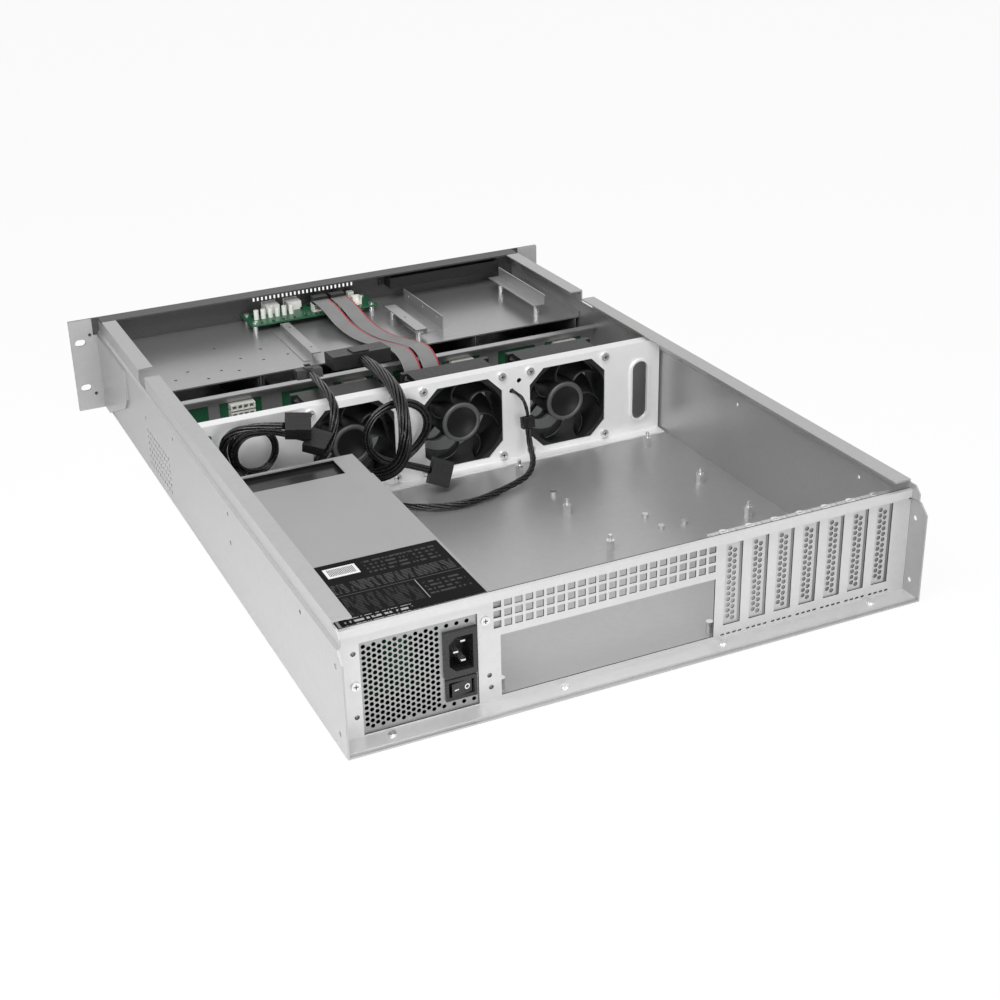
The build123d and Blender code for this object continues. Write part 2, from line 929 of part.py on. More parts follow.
def psu_cover():
    x_low, x_high = psu_x - psu_width / 2, psu_x + psu_width / 2
    z = psu_top_z()
    top = z + psu_sheet
    cover = block(x_low, x_high, psu_front_y(), psu_rear_y(), z, top)
    cover -= block(film_x_low, x_high - film_rim, psu_front_y() + film_rim, psu_front_y() + film_length,
                   z - past, top + past)
    for x in (x_low, x_high):
        side_low, side_high = sorted((x, x + math.copysign(psu_sheet, x - psu_x)))
        cover += block(side_low, side_high, psu_front_y() + cover_side_start, psu_rear_y(),
                       z - cover_side_drop, top)
    return cover


def psu_film():
    """Black insulating film that shows in the cover's cut-out, folded down on the supply's walls."""
    x_low = psu_x - psu_width / 2 + psu_sheet + film_gap
    x_high = psu_x + psu_width / 2 - psu_sheet - film_gap
    y_low = psu_front_y() + psu_sheet + film_gap
    y_high = psu_front_y() + film_length + film_tuck
    z = psu_top_z() - film_drop
    film = block(x_low, x_high, y_low, y_high, z - film_thickness, z)
    film += block(x_low, x_low + film_thickness, y_low, y_high, z - film_side_drop, z)
    film += block(x_high - film_thickness, x_high, y_low, y_high, z - film_side_drop, z)
    return film


def psu_board():
    """Circuit board inside the supply, with its transformer, coils and heat sinks in plain form."""
    x_low, x_high = psu_x - psu_width / 2 + board_side_gap, psu_x + psu_width / 2 - board_side_gap
    y_low, y_high = psu_front_y() + board_front_gap, psu_rear_y() - board_rear_gap
    floor = sheet + seat_gap + psu_sheet
    low = floor + board_lift
    top = low + board_thickness
    board = block(x_low, x_high, y_low, y_high, low, top)
    for x in (x_low + board_post_inset, x_high - board_post_inset):
        for y in (y_low + board_post_inset, y_high - board_post_inset):
            board += rod_z(board_post_radius, x, y, floor, low)
    for x in (x_low + sink_inset, x_high - sink_inset - sink_thickness):
        board += block(x, x + sink_thickness, y_low + sink_end_gap, y_high - sink_end_gap,
                       top, top + sink_height)
    start = psu_front_y() + transformer_start
    board += block(psu_x - transformer_width / 2, psu_x + transformer_width / 2,
                   start, start + transformer_length, top, top + transformer_height)
    for distance in coil_places:
        board += rod_z(coil_radius, psu_x, psu_front_y() + distance, top, top + coil_height)
    return board


def psu_label():
    """Plain black label across the rear half of the supply's cover."""
    z = psu_top_z() + psu_sheet
    y_high = psu_rear_y() - label_rear_gap
    half = psu_width / 2 - label_side_gap
    return block(psu_x - half, psu_x + half, y_high - label_length, y_high, z, z + label_thickness)


def psu_inlet():
    """Black three-pin mains inlet with its socket open to the rear."""
    face_y = psu_rear_y()
    mouth = face_y + inlet_proud
    half_w, half_h = inlet_width / 2, inlet_height / 2
    body = block(inlet_x - half_w, inlet_x + half_w, face_y, mouth, inlet_z - half_h, inlet_z + half_h)
    body += block(inlet_x - half_w + inlet_rim, inlet_x + half_w - inlet_rim, face_y - inlet_depth, face_y,
                  inlet_z - half_h + inlet_rim, inlet_z + half_h - inlet_rim)
    side = socket_width / 2
    high = socket_height / 2
    socket = [
        (inlet_x - side, inlet_z - high),
        (inlet_x + side - socket_chamfer, inlet_z - high),
        (inlet_x + side, inlet_z - high + socket_chamfer),
        (inlet_x + side, inlet_z + high - socket_chamfer),
        (inlet_x + side - socket_chamfer, inlet_z + high),
        (inlet_x - side, inlet_z + high),
    ]
    body -= prism_y(socket, mouth - socket_depth, mouth + past)
    return body


def inlet_pins():
    """Three flat contacts in the inlet."""
    start = psu_rear_y() + inlet_proud - socket_depth
    pins = []
    for offset, rise in ((-pin_offset, -pin_rise), (-pin_offset, pin_rise), (pin_offset, 0)):
        x, z = inlet_x + offset, inlet_z + rise
        pins.append(block(x - pin_width / 2, x + pin_width / 2, start, start + pin_length,
                          z - pin_thickness / 2, z + pin_thickness / 2))
    return group(pins)


def switch_housing():
    """Black frame of the mains switch, with bearings for the rocker's pin."""
    face_y = psu_rear_y()
    half_w, half_h = switch_width / 2, switch_height / 2
    housing = block(inlet_x - half_w, inlet_x + half_w, face_y, face_y + switch_proud,
                    switch_z - half_h, switch_z + half_h)
    housing += block(inlet_x - half_w + inlet_rim, inlet_x + half_w - inlet_rim,
                     face_y - switch_depth, face_y,
                     switch_z - half_h + inlet_rim, switch_z + half_h - inlet_rim)
    well_w, well_h = rocker_width / 2 + seat_gap, rocker_height / 2 + seat_gap
    housing -= block(inlet_x - well_w, inlet_x + well_w, face_y - rocker_well, face_y + switch_proud + past,
                     switch_z - well_h, switch_z + well_h)
    housing += rod_z(rocker_pin_radius, inlet_x, rocker_axis_y(), switch_z - well_h, switch_z + well_h)
    return housing


def rocker_axis_y():
    """Depth of the pin that the rocker turns on."""
    return psu_rear_y() - rocker_pin_depth


def switch_rocker():
    """Rocker of the mains switch, pressed down on one side."""
    face_y = psu_rear_y()
    half = rocker_width / 2 - rocker_end_gap
    pressed, middle, raised = rocker_faces
    pressed_back, middle_back, raised_back = rocker_backs
    pressed_taper, raised_taper = rocker_tapers
    profile = [
        (-half, pressed),
        (0, middle),
        (half, raised),
        (half - raised_taper, raised_back),
        (0, middle_back),
        (-half + pressed_taper, pressed_back),
    ]
    points = [(inlet_x + x, face_y + y) for x, y in profile]
    rocker = prism_z(points, switch_z - rocker_height / 2, switch_z + rocker_height / 2)
    bore = rod_z(rocker_pin_radius + shaft_gap, inlet_x, rocker_axis_y(), switch_z - rocker_height,
                 switch_z + rocker_height)
    return rocker - bore


def psu_gland():
    """Black bush where the cables leave the supply."""
    y = psu_front_y()
    bush = rod_y(gland_radius, gland_x, y - gland_proud, y, gland_z)
    bush += rod_y(gland_neck, gland_x, y, y + psu_sheet + gland_grip, gland_z)
    return bush


# Fan wall with its three fans
def fan_wall():
    y_low = fan_wall_y - sheet
    wall_half = upper_inner_half - contact_gap
    profile = [
        (y_low, sheet),
        (fan_wall_y + fan_wall_flange, sheet),
        (fan_wall_y + fan_wall_flange, 2 * sheet),
        (fan_wall_y, 2 * sheet),
        (fan_wall_y, fan_wall_top),
        (fan_wall_y - fan_wall_flange, fan_wall_top),
        (fan_wall_y - fan_wall_flange, fan_wall_top - sheet),
        (y_low, fan_wall_top - sheet),
    ]
    wall = prism_x(profile, -wall_half, wall_half)
    low, high = y_low - past, fan_wall_y + past
    cuts = []
    for index in range(fan_count):
        x = fan_x(index)
        half = fan_window / 2
        c = fan_window_corner
        window = [
            (x - half, fan_z - half + c),
            (x - half + c, fan_z - half),
            (x + half - c, fan_z - half),
            (x + half, fan_z - half + c),
            (x + half, fan_z + half - c),
            (x + half - c, fan_z + half),
            (x - half + c, fan_z + half),
            (x - half, fan_z + half - c),
        ]
        cuts.append(prism_y(window, low, high))
        for side_x, side_z in fan_corners(index):
            cuts.append(rod_y(fan_hole_radius, side_x, low, high, side_z))
    for x in (fan_x(0) + fan_pitch / 2, fan_x(1) + fan_pitch / 2):
        for offset, z in web_holes:
            cuts.append(rod_y(web_hole_radius, x + offset, low, high, z))
    cuts.append(rod_y(wall_corner_hole, half_width - wall_corner_inset, low, high, wall_corner_z))
    straight = cable_slot_height - cable_slot_width
    rim_face = SlotOverall(cable_slot_height + 2 * cable_slot_rim, cable_slot_width + 2 * cable_slot_rim)
    face_plane = Plane.XZ.offset(-fan_wall_y - cable_slot_proud)
    rim_plane = face_plane * Pos(cable_slot_x, cable_slot_z) * Rot(0, 0, 90)
    hole_face = SlotCenterToCenter(straight, cable_slot_width)
    wall += extrude(rim_plane * rim_face, cable_slot_proud + cable_slot_seat, dir=(0, -1, 0))
    wall -= extrude(rim_plane * hole_face, cable_slot_proud + sheet + past, dir=(0, -1, 0))
    wall -= cuts
    return wall


def fan_corners(index):
    """The four screw places of one fan."""
    half = fan_hole_spacing / 2
    x = fan_x(index)
    low, high = fan_z - half, fan_z + half
    return [(x - half, low), (x + half, low), (x - half, high), (x + half, high)]


def fan_rear_y():
    """Face of the fans against their wall."""
    return fan_wall_y - sheet


def fan_frame(index):
    """Square frame with a round duct, four struts, a motor seat and a shaft."""
    x = fan_x(index)
    y_high = fan_rear_y()
    y_low = y_high - fan_depth
    half = fan_size / 2
    frame = block(x - half, x + half, y_low, y_high, fan_z - half, fan_z + half)
    frame -= rod_y(fan_bore, x, y_low - past, y_high + past, fan_z)
    low, high = y_low + fan_flange, y_high - fan_flange
    for side in (-1, 1):
        x_low, x_high = sorted((x + side * (half - fan_flange), x + side * (half + past)))
        frame -= block(x_low, x_high, low, high, fan_z - half - past, fan_z - half + fan_relief)
        frame -= block(x_low, x_high, low, high, fan_z + half - fan_relief, fan_z + half + past)
    for hole_x, hole_z in fan_corners(index):
        frame -= rod_y(fan_hole_radius, hole_x, y_low - past, y_high + past, hole_z)
    frame += rod_y(fan_hub, x, y_low, y_low + fan_seat, fan_z)
    for angle in (45, 135):
        strut = Rot(0, angle, 0) * Box(2 * fan_bore + past, fan_strut, fan_strut)
        frame += Pos(x, y_low + fan_strut / 2, fan_z) * strut
    frame += rod_y(fan_shaft, x, y_low + fan_seat, y_high - fan_shaft_setback, fan_z)
    return frame


def fan_rotor(index):
    """Hub and curved blades, on the frame's shaft."""
    x = fan_x(index)
    y_high = fan_rear_y() - rotor_rear_gap
    y_low = fan_rear_y() - fan_depth + rotor_front_gap
    reach = fan_bore - blade_tip_gap
    start, end = y_low + blade_front_gap, y_high - blade_rear_gap
    front_edge = []
    back_edge = []
    for step in range(blade_steps + 1):
        share = step / blade_steps
        y = start + share * (end - start)
        z = blade_rise * (share - 0.5) + blade_camber * math.sin(math.pi * share)
        front_edge.append((y, z))
        back_edge.append((y + blade_offset_y, z + blade_offset_z))
    section = front_edge + list(reversed(back_edge))
    blade = prism_x(section, fan_hub - blade_root, reach + past)
    blades = [Rot(0, 360 / fan_blades * turn, 0) * blade for turn in range(fan_blades)]
    rotor = Part() + blades
    rotor &= rod_y(reach, 0, y_low - past, y_high + past, 0)
    rotor += rod_y(fan_hub, 0, y_low, y_high, 0)
    rotor -= rod_y(fan_shaft + shaft_gap, 0, y_low - past, y_high - rotor_cap, 0)
    return Pos(x, 0, fan_z) * rotor


def fan_screws():
    """Screws that hold the fans to their wall."""
    screws = []
    for index in range(fan_count):
        for x, z in fan_corners(index):
            head = rod_y(fan_screw_head, x, fan_wall_y, fan_wall_y + fan_screw_head_height, z)
            shank_end = fan_wall_y - sheet - fan_screw_length
            screws.append(head + rod_y(fan_screw_radius, x, shank_end, fan_wall_y, z))
    return group(screws)


# Drive cage, its cover and the hot-swap trays
def drive_cage():
    y_low = body_front_y
    z_high = cage_cover_z
    cage_half = bay_columns * bay_pitch_x / 2 + cage_sheet / 2
    shelf = sheet + bay_pitch_z
    cage = block(-cage_half, cage_half, y_low, cage_rear_y, shelf, shelf + shelf_sheet)
    for wall in range(bay_columns + 1):
        x = (wall - bay_columns / 2) * bay_pitch_x
        cage += block(x - cage_sheet / 2, x + cage_sheet / 2, y_low, cage_rear_y, sheet, z_high)
    return cage


def cage_cover():
    """Plate over the drive bays, with side flanges on the walls."""
    half = inner_half - contact_gap
    cover = block(-half, half, body_front_y, cage_rear_y, cage_cover_z, cage_cover_top)
    for side in (-1, 1):
        low, high = sorted((side * (half - sheet), side * half))
        cover += block(low, high, body_front_y + cover_flange_start, cage_rear_y, cage_cover_z,
                       cage_cover_top + cover_lip)
    for inset, distance in cover_holes:
        cover -= rod_z(cover_hole_radius, half_width - inset, cage_rear_y - distance, cage_cover_z - past,
                       cage_cover_top + past)
    for x in cover_notches:
        cover -= block(x - cover_notch / 2, x + cover_notch / 2,
                       cage_rear_y - cover_notch, cage_rear_y + past,
                       cage_cover_z - past, cage_cover_top + past)
    return cover


def drive_tray(column, row):
    """Open tray with a perforated bezel and a fixed pull."""
    x = bay_x(column)
    floor = bay_floor(row) + seat_gap
    half = tray_width / 2
    top = floor + tray_height
    y_low = front_y
    y_high = y_low + tray_length
    tray = block(x - half, x + half, y_low, y_high, floor, top)
    tray -= block(x - half + tray_wall, x + half - tray_wall, y_low + bezel_depth, y_high + past,
                  floor + tray_wall, top + past)
    tray -= block(x - tray_opening_width / 2, x + tray_opening_width / 2, y_low + tray_opening_front,
                  y_high - tray_opening_rear, floor - past, floor + tray_wall + past)
    pull_half = half - pull_inset
    tray -= block(x - pull_half, x + pull_half, y_low - past, y_low + bezel_depth - pull_floor,
                  floor + pull_margin, top - pull_margin)
    grille = []
    for slot in range(tray_slot_count):
        slot_mid = x + (slot - (tray_slot_count - 1) / 2) * tray_slot_pitch
        grille.append(block(slot_mid - tray_slot_width / 2, slot_mid + tray_slot_width / 2, y_low,
                            y_low + bezel_depth + past, floor + tray_slot_margin, top - tray_slot_margin))
    tray -= grille
    tray += block(x - pull_half, x + pull_half, y_low + pull_setback, y_low + pull_setback + pull_thickness,
                  top - 2 * pull_margin, top - pull_margin)
    return tray


# Backplane behind the bays
def backplane_windows():
    """Windows of the backplane frame as middle, width, low and high edge."""
    windows = []
    for column in range(bay_columns):
        x = bay_x(column)
        windows.append((x - socket_offset, upper_window_width, upper_window_low, upper_window_high))
        windows.append((x + socket_offset, upper_window_width, upper_window_low, upper_window_high))
        windows.append((x, lower_window_width, lower_window_low, lower_window_high))
    return windows


def backplane_frame():
    y = backplane_y
    top = cage_cover_top
    profile = [
        (y, sheet),
        (y + sheet, sheet),
        (y + sheet, top - sheet),
        (y + backplane_flange, top - sheet),
        (y + backplane_flange, top),
        (y, top),
    ]
    frame = prism_x(profile, -inner_half + contact_gap, inner_half - contact_gap)
    for x, width, low, high in backplane_windows():
        frame -= block(x - width / 2, x + width / 2, y - past, y + sheet + past, low, high)
    return frame


def backplane_board():
    """Circuit board against the frame, with a drive socket for each bay."""
    y = backplane_y
    half = inner_half - backplane_side_gap
    board = block(-half, half, y - board_thickness, y, sheet + backplane_edge_gap,
                  cage_cover_z - backplane_edge_gap)
    for column in range(bay_columns):
        for row in range(bay_rows):
            z = bay_floor(row) + drive_socket_rise
            board += block(bay_x(column) - drive_socket_left, bay_x(column) + drive_socket_right,
                           y - drive_socket_depth, y - board_thickness, z, z + drive_socket_height)
    return board


def power_sockets():
    """White four-pin power sockets that stand out through the frame's windows."""
    sockets = []
    y = backplane_y
    for column in range(bay_columns):
        x = bay_x(column) - socket_offset
        half = power_socket_width / 2
        for z in power_socket_lows:
            socket = block(x - half, x + half, y, y + power_socket_depth, z, z + power_socket_height)
            for contact in range(contact_count):
                contact_x = x + (contact - (contact_count - 1) / 2) * contact_pitch
                socket -= block(contact_x - contact_width / 2, contact_x + contact_width / 2,
                                y + contact_floor, y + power_socket_depth + past, z + contact_margin,
                                z + power_socket_height - contact_margin)
            sockets.append(socket)
    return group(sockets)


# Front panel, rack ears and what the panel carries
def front_panel():
    half = ear_span / 2
    y_high = body_front_y
    panel = block(-half, half, front_y, y_high, 0, case_height)
    fold_half = half_width - wall_step
    panel += block(-fold_half, fold_half, front_y, front_y + front_flange,
                   case_height - front_sheet, case_height)
    near, far = front_y - past, y_high + past
    cuts = []
    for column in range(bay_columns):
        for row in range(bay_rows):
            x = bay_x(column)
            low = bay_floor(row) + seat_gap - bay_window_gap / 2
            window_half = tray_width / 2 + bay_window_gap
            cuts.append(block(x - window_half, x + window_half, near, far,
                              low, low + tray_height + bay_window_gap))
    for index in range(grille_count):
        x = grille_first_x + index * grille_pitch
        cuts.append(block(x - grille_slot / 2, x + grille_slot / 2, near, far,
                          grille_z - grille_height / 2, grille_z + grille_height / 2))
    cuts.append(block(slim_x - slim_width / 2, slim_x + slim_width / 2, near, far,
                      slim_z - slim_height / 2, slim_z + slim_height / 2))
    for x in (power_button_x, reset_button_x):
        cuts.append(rod_y(button_radius + seat_gap, x, near, far, button_z))
    port_half = port_width / 2 + port_gap
    for x in port_xs:
        cuts.append(block(x - port_half, x + port_half, near, far, control_z - port_gap,
                          control_z + port_height + port_gap))
    for side in (-1, 1):
        for z in (ear_hole_low, ear_hole_high):
            cuts.append(ear_hole(side, z, near, far))
    return panel - cuts


def ear_hole(side, z, y_low, y_high):
    """One slotted rack hole."""
    face = SlotOverall(ear_hole_width, ear_hole_height)
    placed = Plane.XZ.offset(-y_high) * Pos(side * ear_hole_x, z) * face
    return extrude(placed, y_high - y_low, dir=(0, -1, 0))


def rack_ear(side):
    """Steel angle behind the front panel's end, with a tapering leg along the side wall."""
    outer = ear_span / 2
    y_low = body_front_y
    near, far = y_low - past, y_low + ear_sheet + past
    ear_top = wall_step_z - ear_top_gap
    plate = block(half_width, outer, y_low, y_low + ear_sheet, 0, case_height)
    plate -= block(half_width - past, half_width + ear_notch, near, far, ear_top, case_height + past)
    leg = [
        (y_low, 0),
        (y_low + ear_leg_foot, 0),
        (y_low + ear_leg - ear_leg_slope, ear_leg_rear_z - ear_leg_slope),
        (y_low + ear_leg, ear_leg_rear_z),
        (y_low + ear_leg, ear_top),
        (y_low, ear_top),
    ]
    ear = plate + prism_x(leg, half_width, half_width + ear_sheet)
    for z in (ear_hole_low, ear_hole_high):
        ear -= ear_hole(1, z, near, far)
    for offset, z in ear_pins:
        ear -= rod_y(ear_pin_radius, half_width + offset, near, far, z)
    if side < 0:
        ear = mirror(ear, about=Plane.YZ)
    return ear


def slim_blank():
    """Black blank of the slim drive bay, a shallow tray behind the front panel."""
    half = slim_width / 2 - seat_gap
    low, high = slim_z - slim_height / 2 + seat_gap, slim_z + slim_height / 2 - seat_gap
    blank = block(slim_x - half, slim_x + half, front_y, front_y + slim_depth, low, high)
    blank -= block(slim_x - half + slim_wall, slim_x + half - slim_wall, front_y + slim_wall,
                   front_y + slim_depth - slim_wall, low + slim_wall, high + past)
    for side in (-1, 1):
        edge = slim_x + side * half
        x_low, x_high = sorted((edge, edge + side * slim_flange))
        blank += block(x_low, x_high, body_front_y, body_front_y + slim_wall, low, high)
    return blank


def control_board():
    """Green board with two serial bus ports behind the front panel."""
    y_low = front_y + control_front_gap
    x_low, x_high = control_x - control_width / 2, control_x + control_width / 2
    board = block(x_low, x_high, y_low, y_low + control_depth, control_z - board_thickness, control_z)
    for x, y in control_posts():
        board -= rod_z(control_pin_radius + contact_gap, x, y, control_z - board_thickness - past,
                       control_z + past)
    return board


def control_posts():
    """Places of the posts that carry the control board."""
    y_low = front_y + control_front_gap
    half = control_width / 2 - control_post_side
    points = []
    for x in (control_x - half, control_x + half):
        for y in (y_low + control_post_front, y_low + control_depth - control_post_rear):
            points.append((x, y))
    return points


def control_parts():
    """Ports, headers, capacitors and button switches on the control board."""
    y_low = front_y + control_front_gap
    z = control_z
    parts = []
    half = port_width / 2
    for x in port_xs:
        port = block(x - half, x + half, front_y + seat_gap, y_low + port_depth, z, z + port_height)
        port -= block(x - half + port_wall, x + half - port_wall,
                      front_y - past, y_low + port_depth - port_back,
                      z + port_floor, z + port_height - port_wall)
        parts.append(port)
    half = switch_width_x / 2
    for x in (power_button_x, reset_button_x):
        start = y_low + switch_front
        parts.append(block(x - half, x + half, start, start + switch_length, z, z + switch_top))
    start, end = y_low + header_front, y_low + header_front + header_length
    for x, width in headers:
        half = width / 2
        header = block(x - half, x + half, start, end, z, z + header_height)
        header -= block(x - half + header_wall, x + half - header_wall, start + header_wall, end + past,
                        z + header_floor, z + header_height + past)
        parts.append(header)
    for index in range(capacitor_count):
        x = capacitor_first_x - index * capacitor_pitch
        parts.append(rod_z(capacitor_radius, x, y_low + capacitor_front, z, z + capacitor_height))
    return group(parts)


def push_button(x):
    """Round button that presses its switch on the control board."""
    stem_end = front_y + control_front_gap + switch_front - button_travel - seat_gap
    flange_y = body_front_y + button_travel + seat_gap
    button = rod_y(button_radius, x, front_y, body_front_y + button_proud, button_z)
    button += rod_y(button_radius + button_flange, x, flange_y, flange_y + button_flange, button_z)
    button += rod_y(button_stem_radius, x, front_y + past, stem_end, button_z)
    return button


# Brackets and posts on the drive cage cover
def plain_bracket():
    """Long Z-section bracket flat on the cover."""
    x = plain_bracket_x
    low = cage_cover_top
    high = low + plain_bracket_height
    profile = [
        (x, low),
        (x + plain_bracket_foot, low),
        (x + plain_bracket_foot, low + bracket_sheet),
        (x + bracket_sheet, low + bracket_sheet),
        (x + bracket_sheet, high),
        (x - plain_bracket_arm, high),
        (x - plain_bracket_arm, high - bracket_sheet),
        (x, high - bracket_sheet),
    ]
    start, end = plain_bracket_ends
    bracket = prism_y(profile, front_y + start, front_y + end)
    for distance in plain_bracket_holes:
        bracket -= rod_z(bracket_hole, x - plain_bracket_arm / 2, front_y + distance,
                         high - bracket_sheet - past, high + past)
    return bracket


def raised_bracket():
    """Bracket on two posts, with a strip that hangs from its right edge."""
    x = raised_bracket_x
    low = cage_cover_top + raised_post_height
    top = low + bracket_sheet
    half = raised_bracket_width / 2
    start, end = raised_bracket_ends
    y_low, y_high = front_y + start, front_y + end
    bracket = block(x - half, x + half, y_low, y_high, low, top)
    bracket += block(x - half - bracket_sheet, x - half, y_low, y_high, low - raised_bracket_drop, top)
    bracket -= rod_z(bracket_hole, x, (y_low + y_high) / 2, low - past, top + past)
    return bracket


def angle_bracket():
    """Tall L-section sheet on the cover."""
    x = angle_bracket_x
    low = cage_cover_top
    profile = [
        (x, low),
        (x + angle_bracket_foot, low),
        (x + angle_bracket_foot, low + bracket_sheet),
        (x + bracket_sheet, low + bracket_sheet),
        (x + bracket_sheet, low + angle_bracket_height),
        (x, low + angle_bracket_height),
    ]
    start, end = angle_bracket_ends
    bracket = prism_y(profile, front_y + start, front_y + end)
    for distance in angle_bracket_holes:
        bracket -= rod_x(bracket_hole, x - past, x + bracket_sheet + past, front_y + distance,
                         low + angle_bracket_hole_z)
    return bracket


def far_bracket():
    """L-section strip on two tall posts beside the right wall."""
    x = far_bracket_x
    low = cage_cover_top + far_post_height
    half = far_bracket_width / 2
    start, end = far_bracket_ends
    y_low, y_high = front_y + start, front_y + end
    bracket = block(x - half, x + half, y_low, y_high, low, low + bracket_sheet)
    bracket += block(x - half, x - half + bracket_sheet, y_low, y_high, low, low + far_bracket_height)
    return bracket


def bracket_posts():
    """Posts under the raised brackets and the control board."""
    posts = []
    low = cage_cover_top
    for distance in raised_bracket_posts:
        posts.append(rod_z(post_radius, raised_bracket_x, front_y + distance, low, low + raised_post_height))
    for distance in far_bracket_posts:
        posts.append(rod_z(post_radius, far_bracket_x, front_y + distance, low, low + far_post_height))
    for x, y in control_posts():
        seat = control_z - board_thickness
        post = rod_z(post_radius, x, y, low, seat) + rod_z(control_pin_radius, x, y, seat, control_z)
        posts.append(post + rod_z(control_cap_radius, x, y, control_z, control_z + control_cap_height))
    return group(posts)


# Standoffs on the floor
def board_standoffs():
    """Hexagonal posts with a stud on top, where a board would be screwed down."""
    posts = []
    top = sheet + standoff_height
    for x in standoff_columns:
        for y in standoff_rows:
            hexagon = RegularPolygon(standoff_flat / math.sqrt(3), 6)
            post = Pos(x, y, sheet) * extrude(hexagon, standoff_height)
            posts.append(post + rod_z(standoff_pin_radius, x, y, top, top + standoff_stud))
    for x, y in low_posts:
        posts.append(rod_z(post_radius, x, y, sheet, sheet + low_post_height))
    return group(posts)


# Cables and the plugs at their ends
def route_radii(points):
    """Bend radius at each inner point of a route, from its shorter run and its turn."""
    radii = []
    for before, here, after in zip(points, points[1:], points[2:]):
        first = Vector(*here) - Vector(*before)
        second = Vector(*after) - Vector(*here)
        turn = math.radians(first.get_angle(second))
        radii.append(bend_share * min(first.length, second.length) / math.tan(turn / 2))
    return radii


def cable(name, points, section):
    """A cable of one section along its route."""
    radii = route_radii(points)
    path = FilletPolyline(*points, radius=radii)
    start = Plane(origin=points[0], x_dir=(1, 0, 0), z_dir=Vector(*points[1]) - Vector(*points[0]))
    solid = sweep(start * section, path=path)
    print(name, "bend radii", [round(radius, 1) for radius in radii])
    print(name, "volume", round(solid.volume), "of", round(section.area * path.length))
    return solid


def end_plug(points, size):
    """A plug on the last run of a route, as width, length along the run and height."""
    width, length, height = size
    end = Plane(origin=points[-1], x_dir=(1, 0, 0), z_dir=Vector(*points[-1]) - Vector(*points[-2]))
    return end * Pos(0, 0, length / 2) * Box(width, height, length)


def main_plug():
    """Wide power plug with a row of open contacts and a latch."""
    width, length, height = main_plug_size
    latch_width, latch_height, latch_length = plug_latch_size
    direction = Vector(*main_route[-1]) - Vector(*main_route[-2])
    end = Plane(origin=main_route[-1], x_dir=(1, 0, 0), z_dir=direction)
    plug = Box(width, height, length)
    cell = Box(plug_cell, plug_cell, 2 * plug_cell_depth)
    for column in range(plug_columns):
        for row in (-1, 1):
            x = (column - (plug_columns - 1) / 2) * plug_column_pitch
            plug -= Pos(x, row * plug_row_offset, length / 2) * cell
    plug += Pos(0, (height + latch_height) / 2, 0) * Box(latch_width, latch_height, latch_length)
    return end * Pos(0, 0, length / 2) * plug


def ribbon_plugs():
    """Flat plugs at both ends of the ribbon cables, and the backplane sockets that they sit in."""
    plugs = []
    for route in ribbon_routes:
        x, distance, z = route[0]
        y = front_y + distance
        half = ribbon_header_width / 2
        plugs.append(block(x - half, x + half, y - ribbon_header_depth, y, z - ribbon_header_drop,
                           z + ribbon_header_rise))
        x, distance, z = route[-1]
        y = front_y + distance
        half = ribbon_width / 2
        plugs.append(block(x - half, x + half, y - ribbon_plug_depth, y, z - ribbon_plug_height / 2,
                           z + ribbon_plug_height / 2))
    return group(plugs)


def save_cables():
    """Makes the cables and their plugs."""
    save("main_cable", cable("main_cable", main_route, Circle(main_diameter / 2)))
    save("main_plug", main_plug())
    save("processor_cable", cable("processor_cable", processor_route, Circle(lead_diameter / 2)))
    save("processor_plug", end_plug(processor_route, processor_plug_size))
    save("drive_cable", cable("drive_cable", drive_route, Circle(lead_diameter / 2)))
    small_routes = (drive_route, peripheral_route, graphics_route)
    small_plugs = [end_plug(route, drive_plug_size) for route in small_routes]
    save("drive_plugs", group(small_plugs))
    save("fan_power_cable", cable("fan_power_cable", fan_power_route, Circle(fan_power_diameter / 2)))
    save("fan_plug", end_plug(fan_power_route, fan_plug_size))
    save("fan_lead", cable("fan_lead", fan_lead_route, Circle(fan_lead_diameter / 2)))
    save("peripheral_cable", cable("peripheral_cable", peripheral_route, Circle(peripheral_diameter / 2)))
    save("graphics_cable", cable("graphics_cable", graphics_route, Circle(graphics_diameter / 2)))
    ribbon = Rectangle(ribbon_width, ribbon_thickness)
    ribbons = []
    for route in ribbon_routes:
        points = [(x, front_y + distance, z) for x, distance, z in route]
        ribbons.append(cable("ribbon_cable", points, ribbon))
    save("ribbon_cables", group(ribbons))
    save("ribbon_plugs", ribbon_plugs())


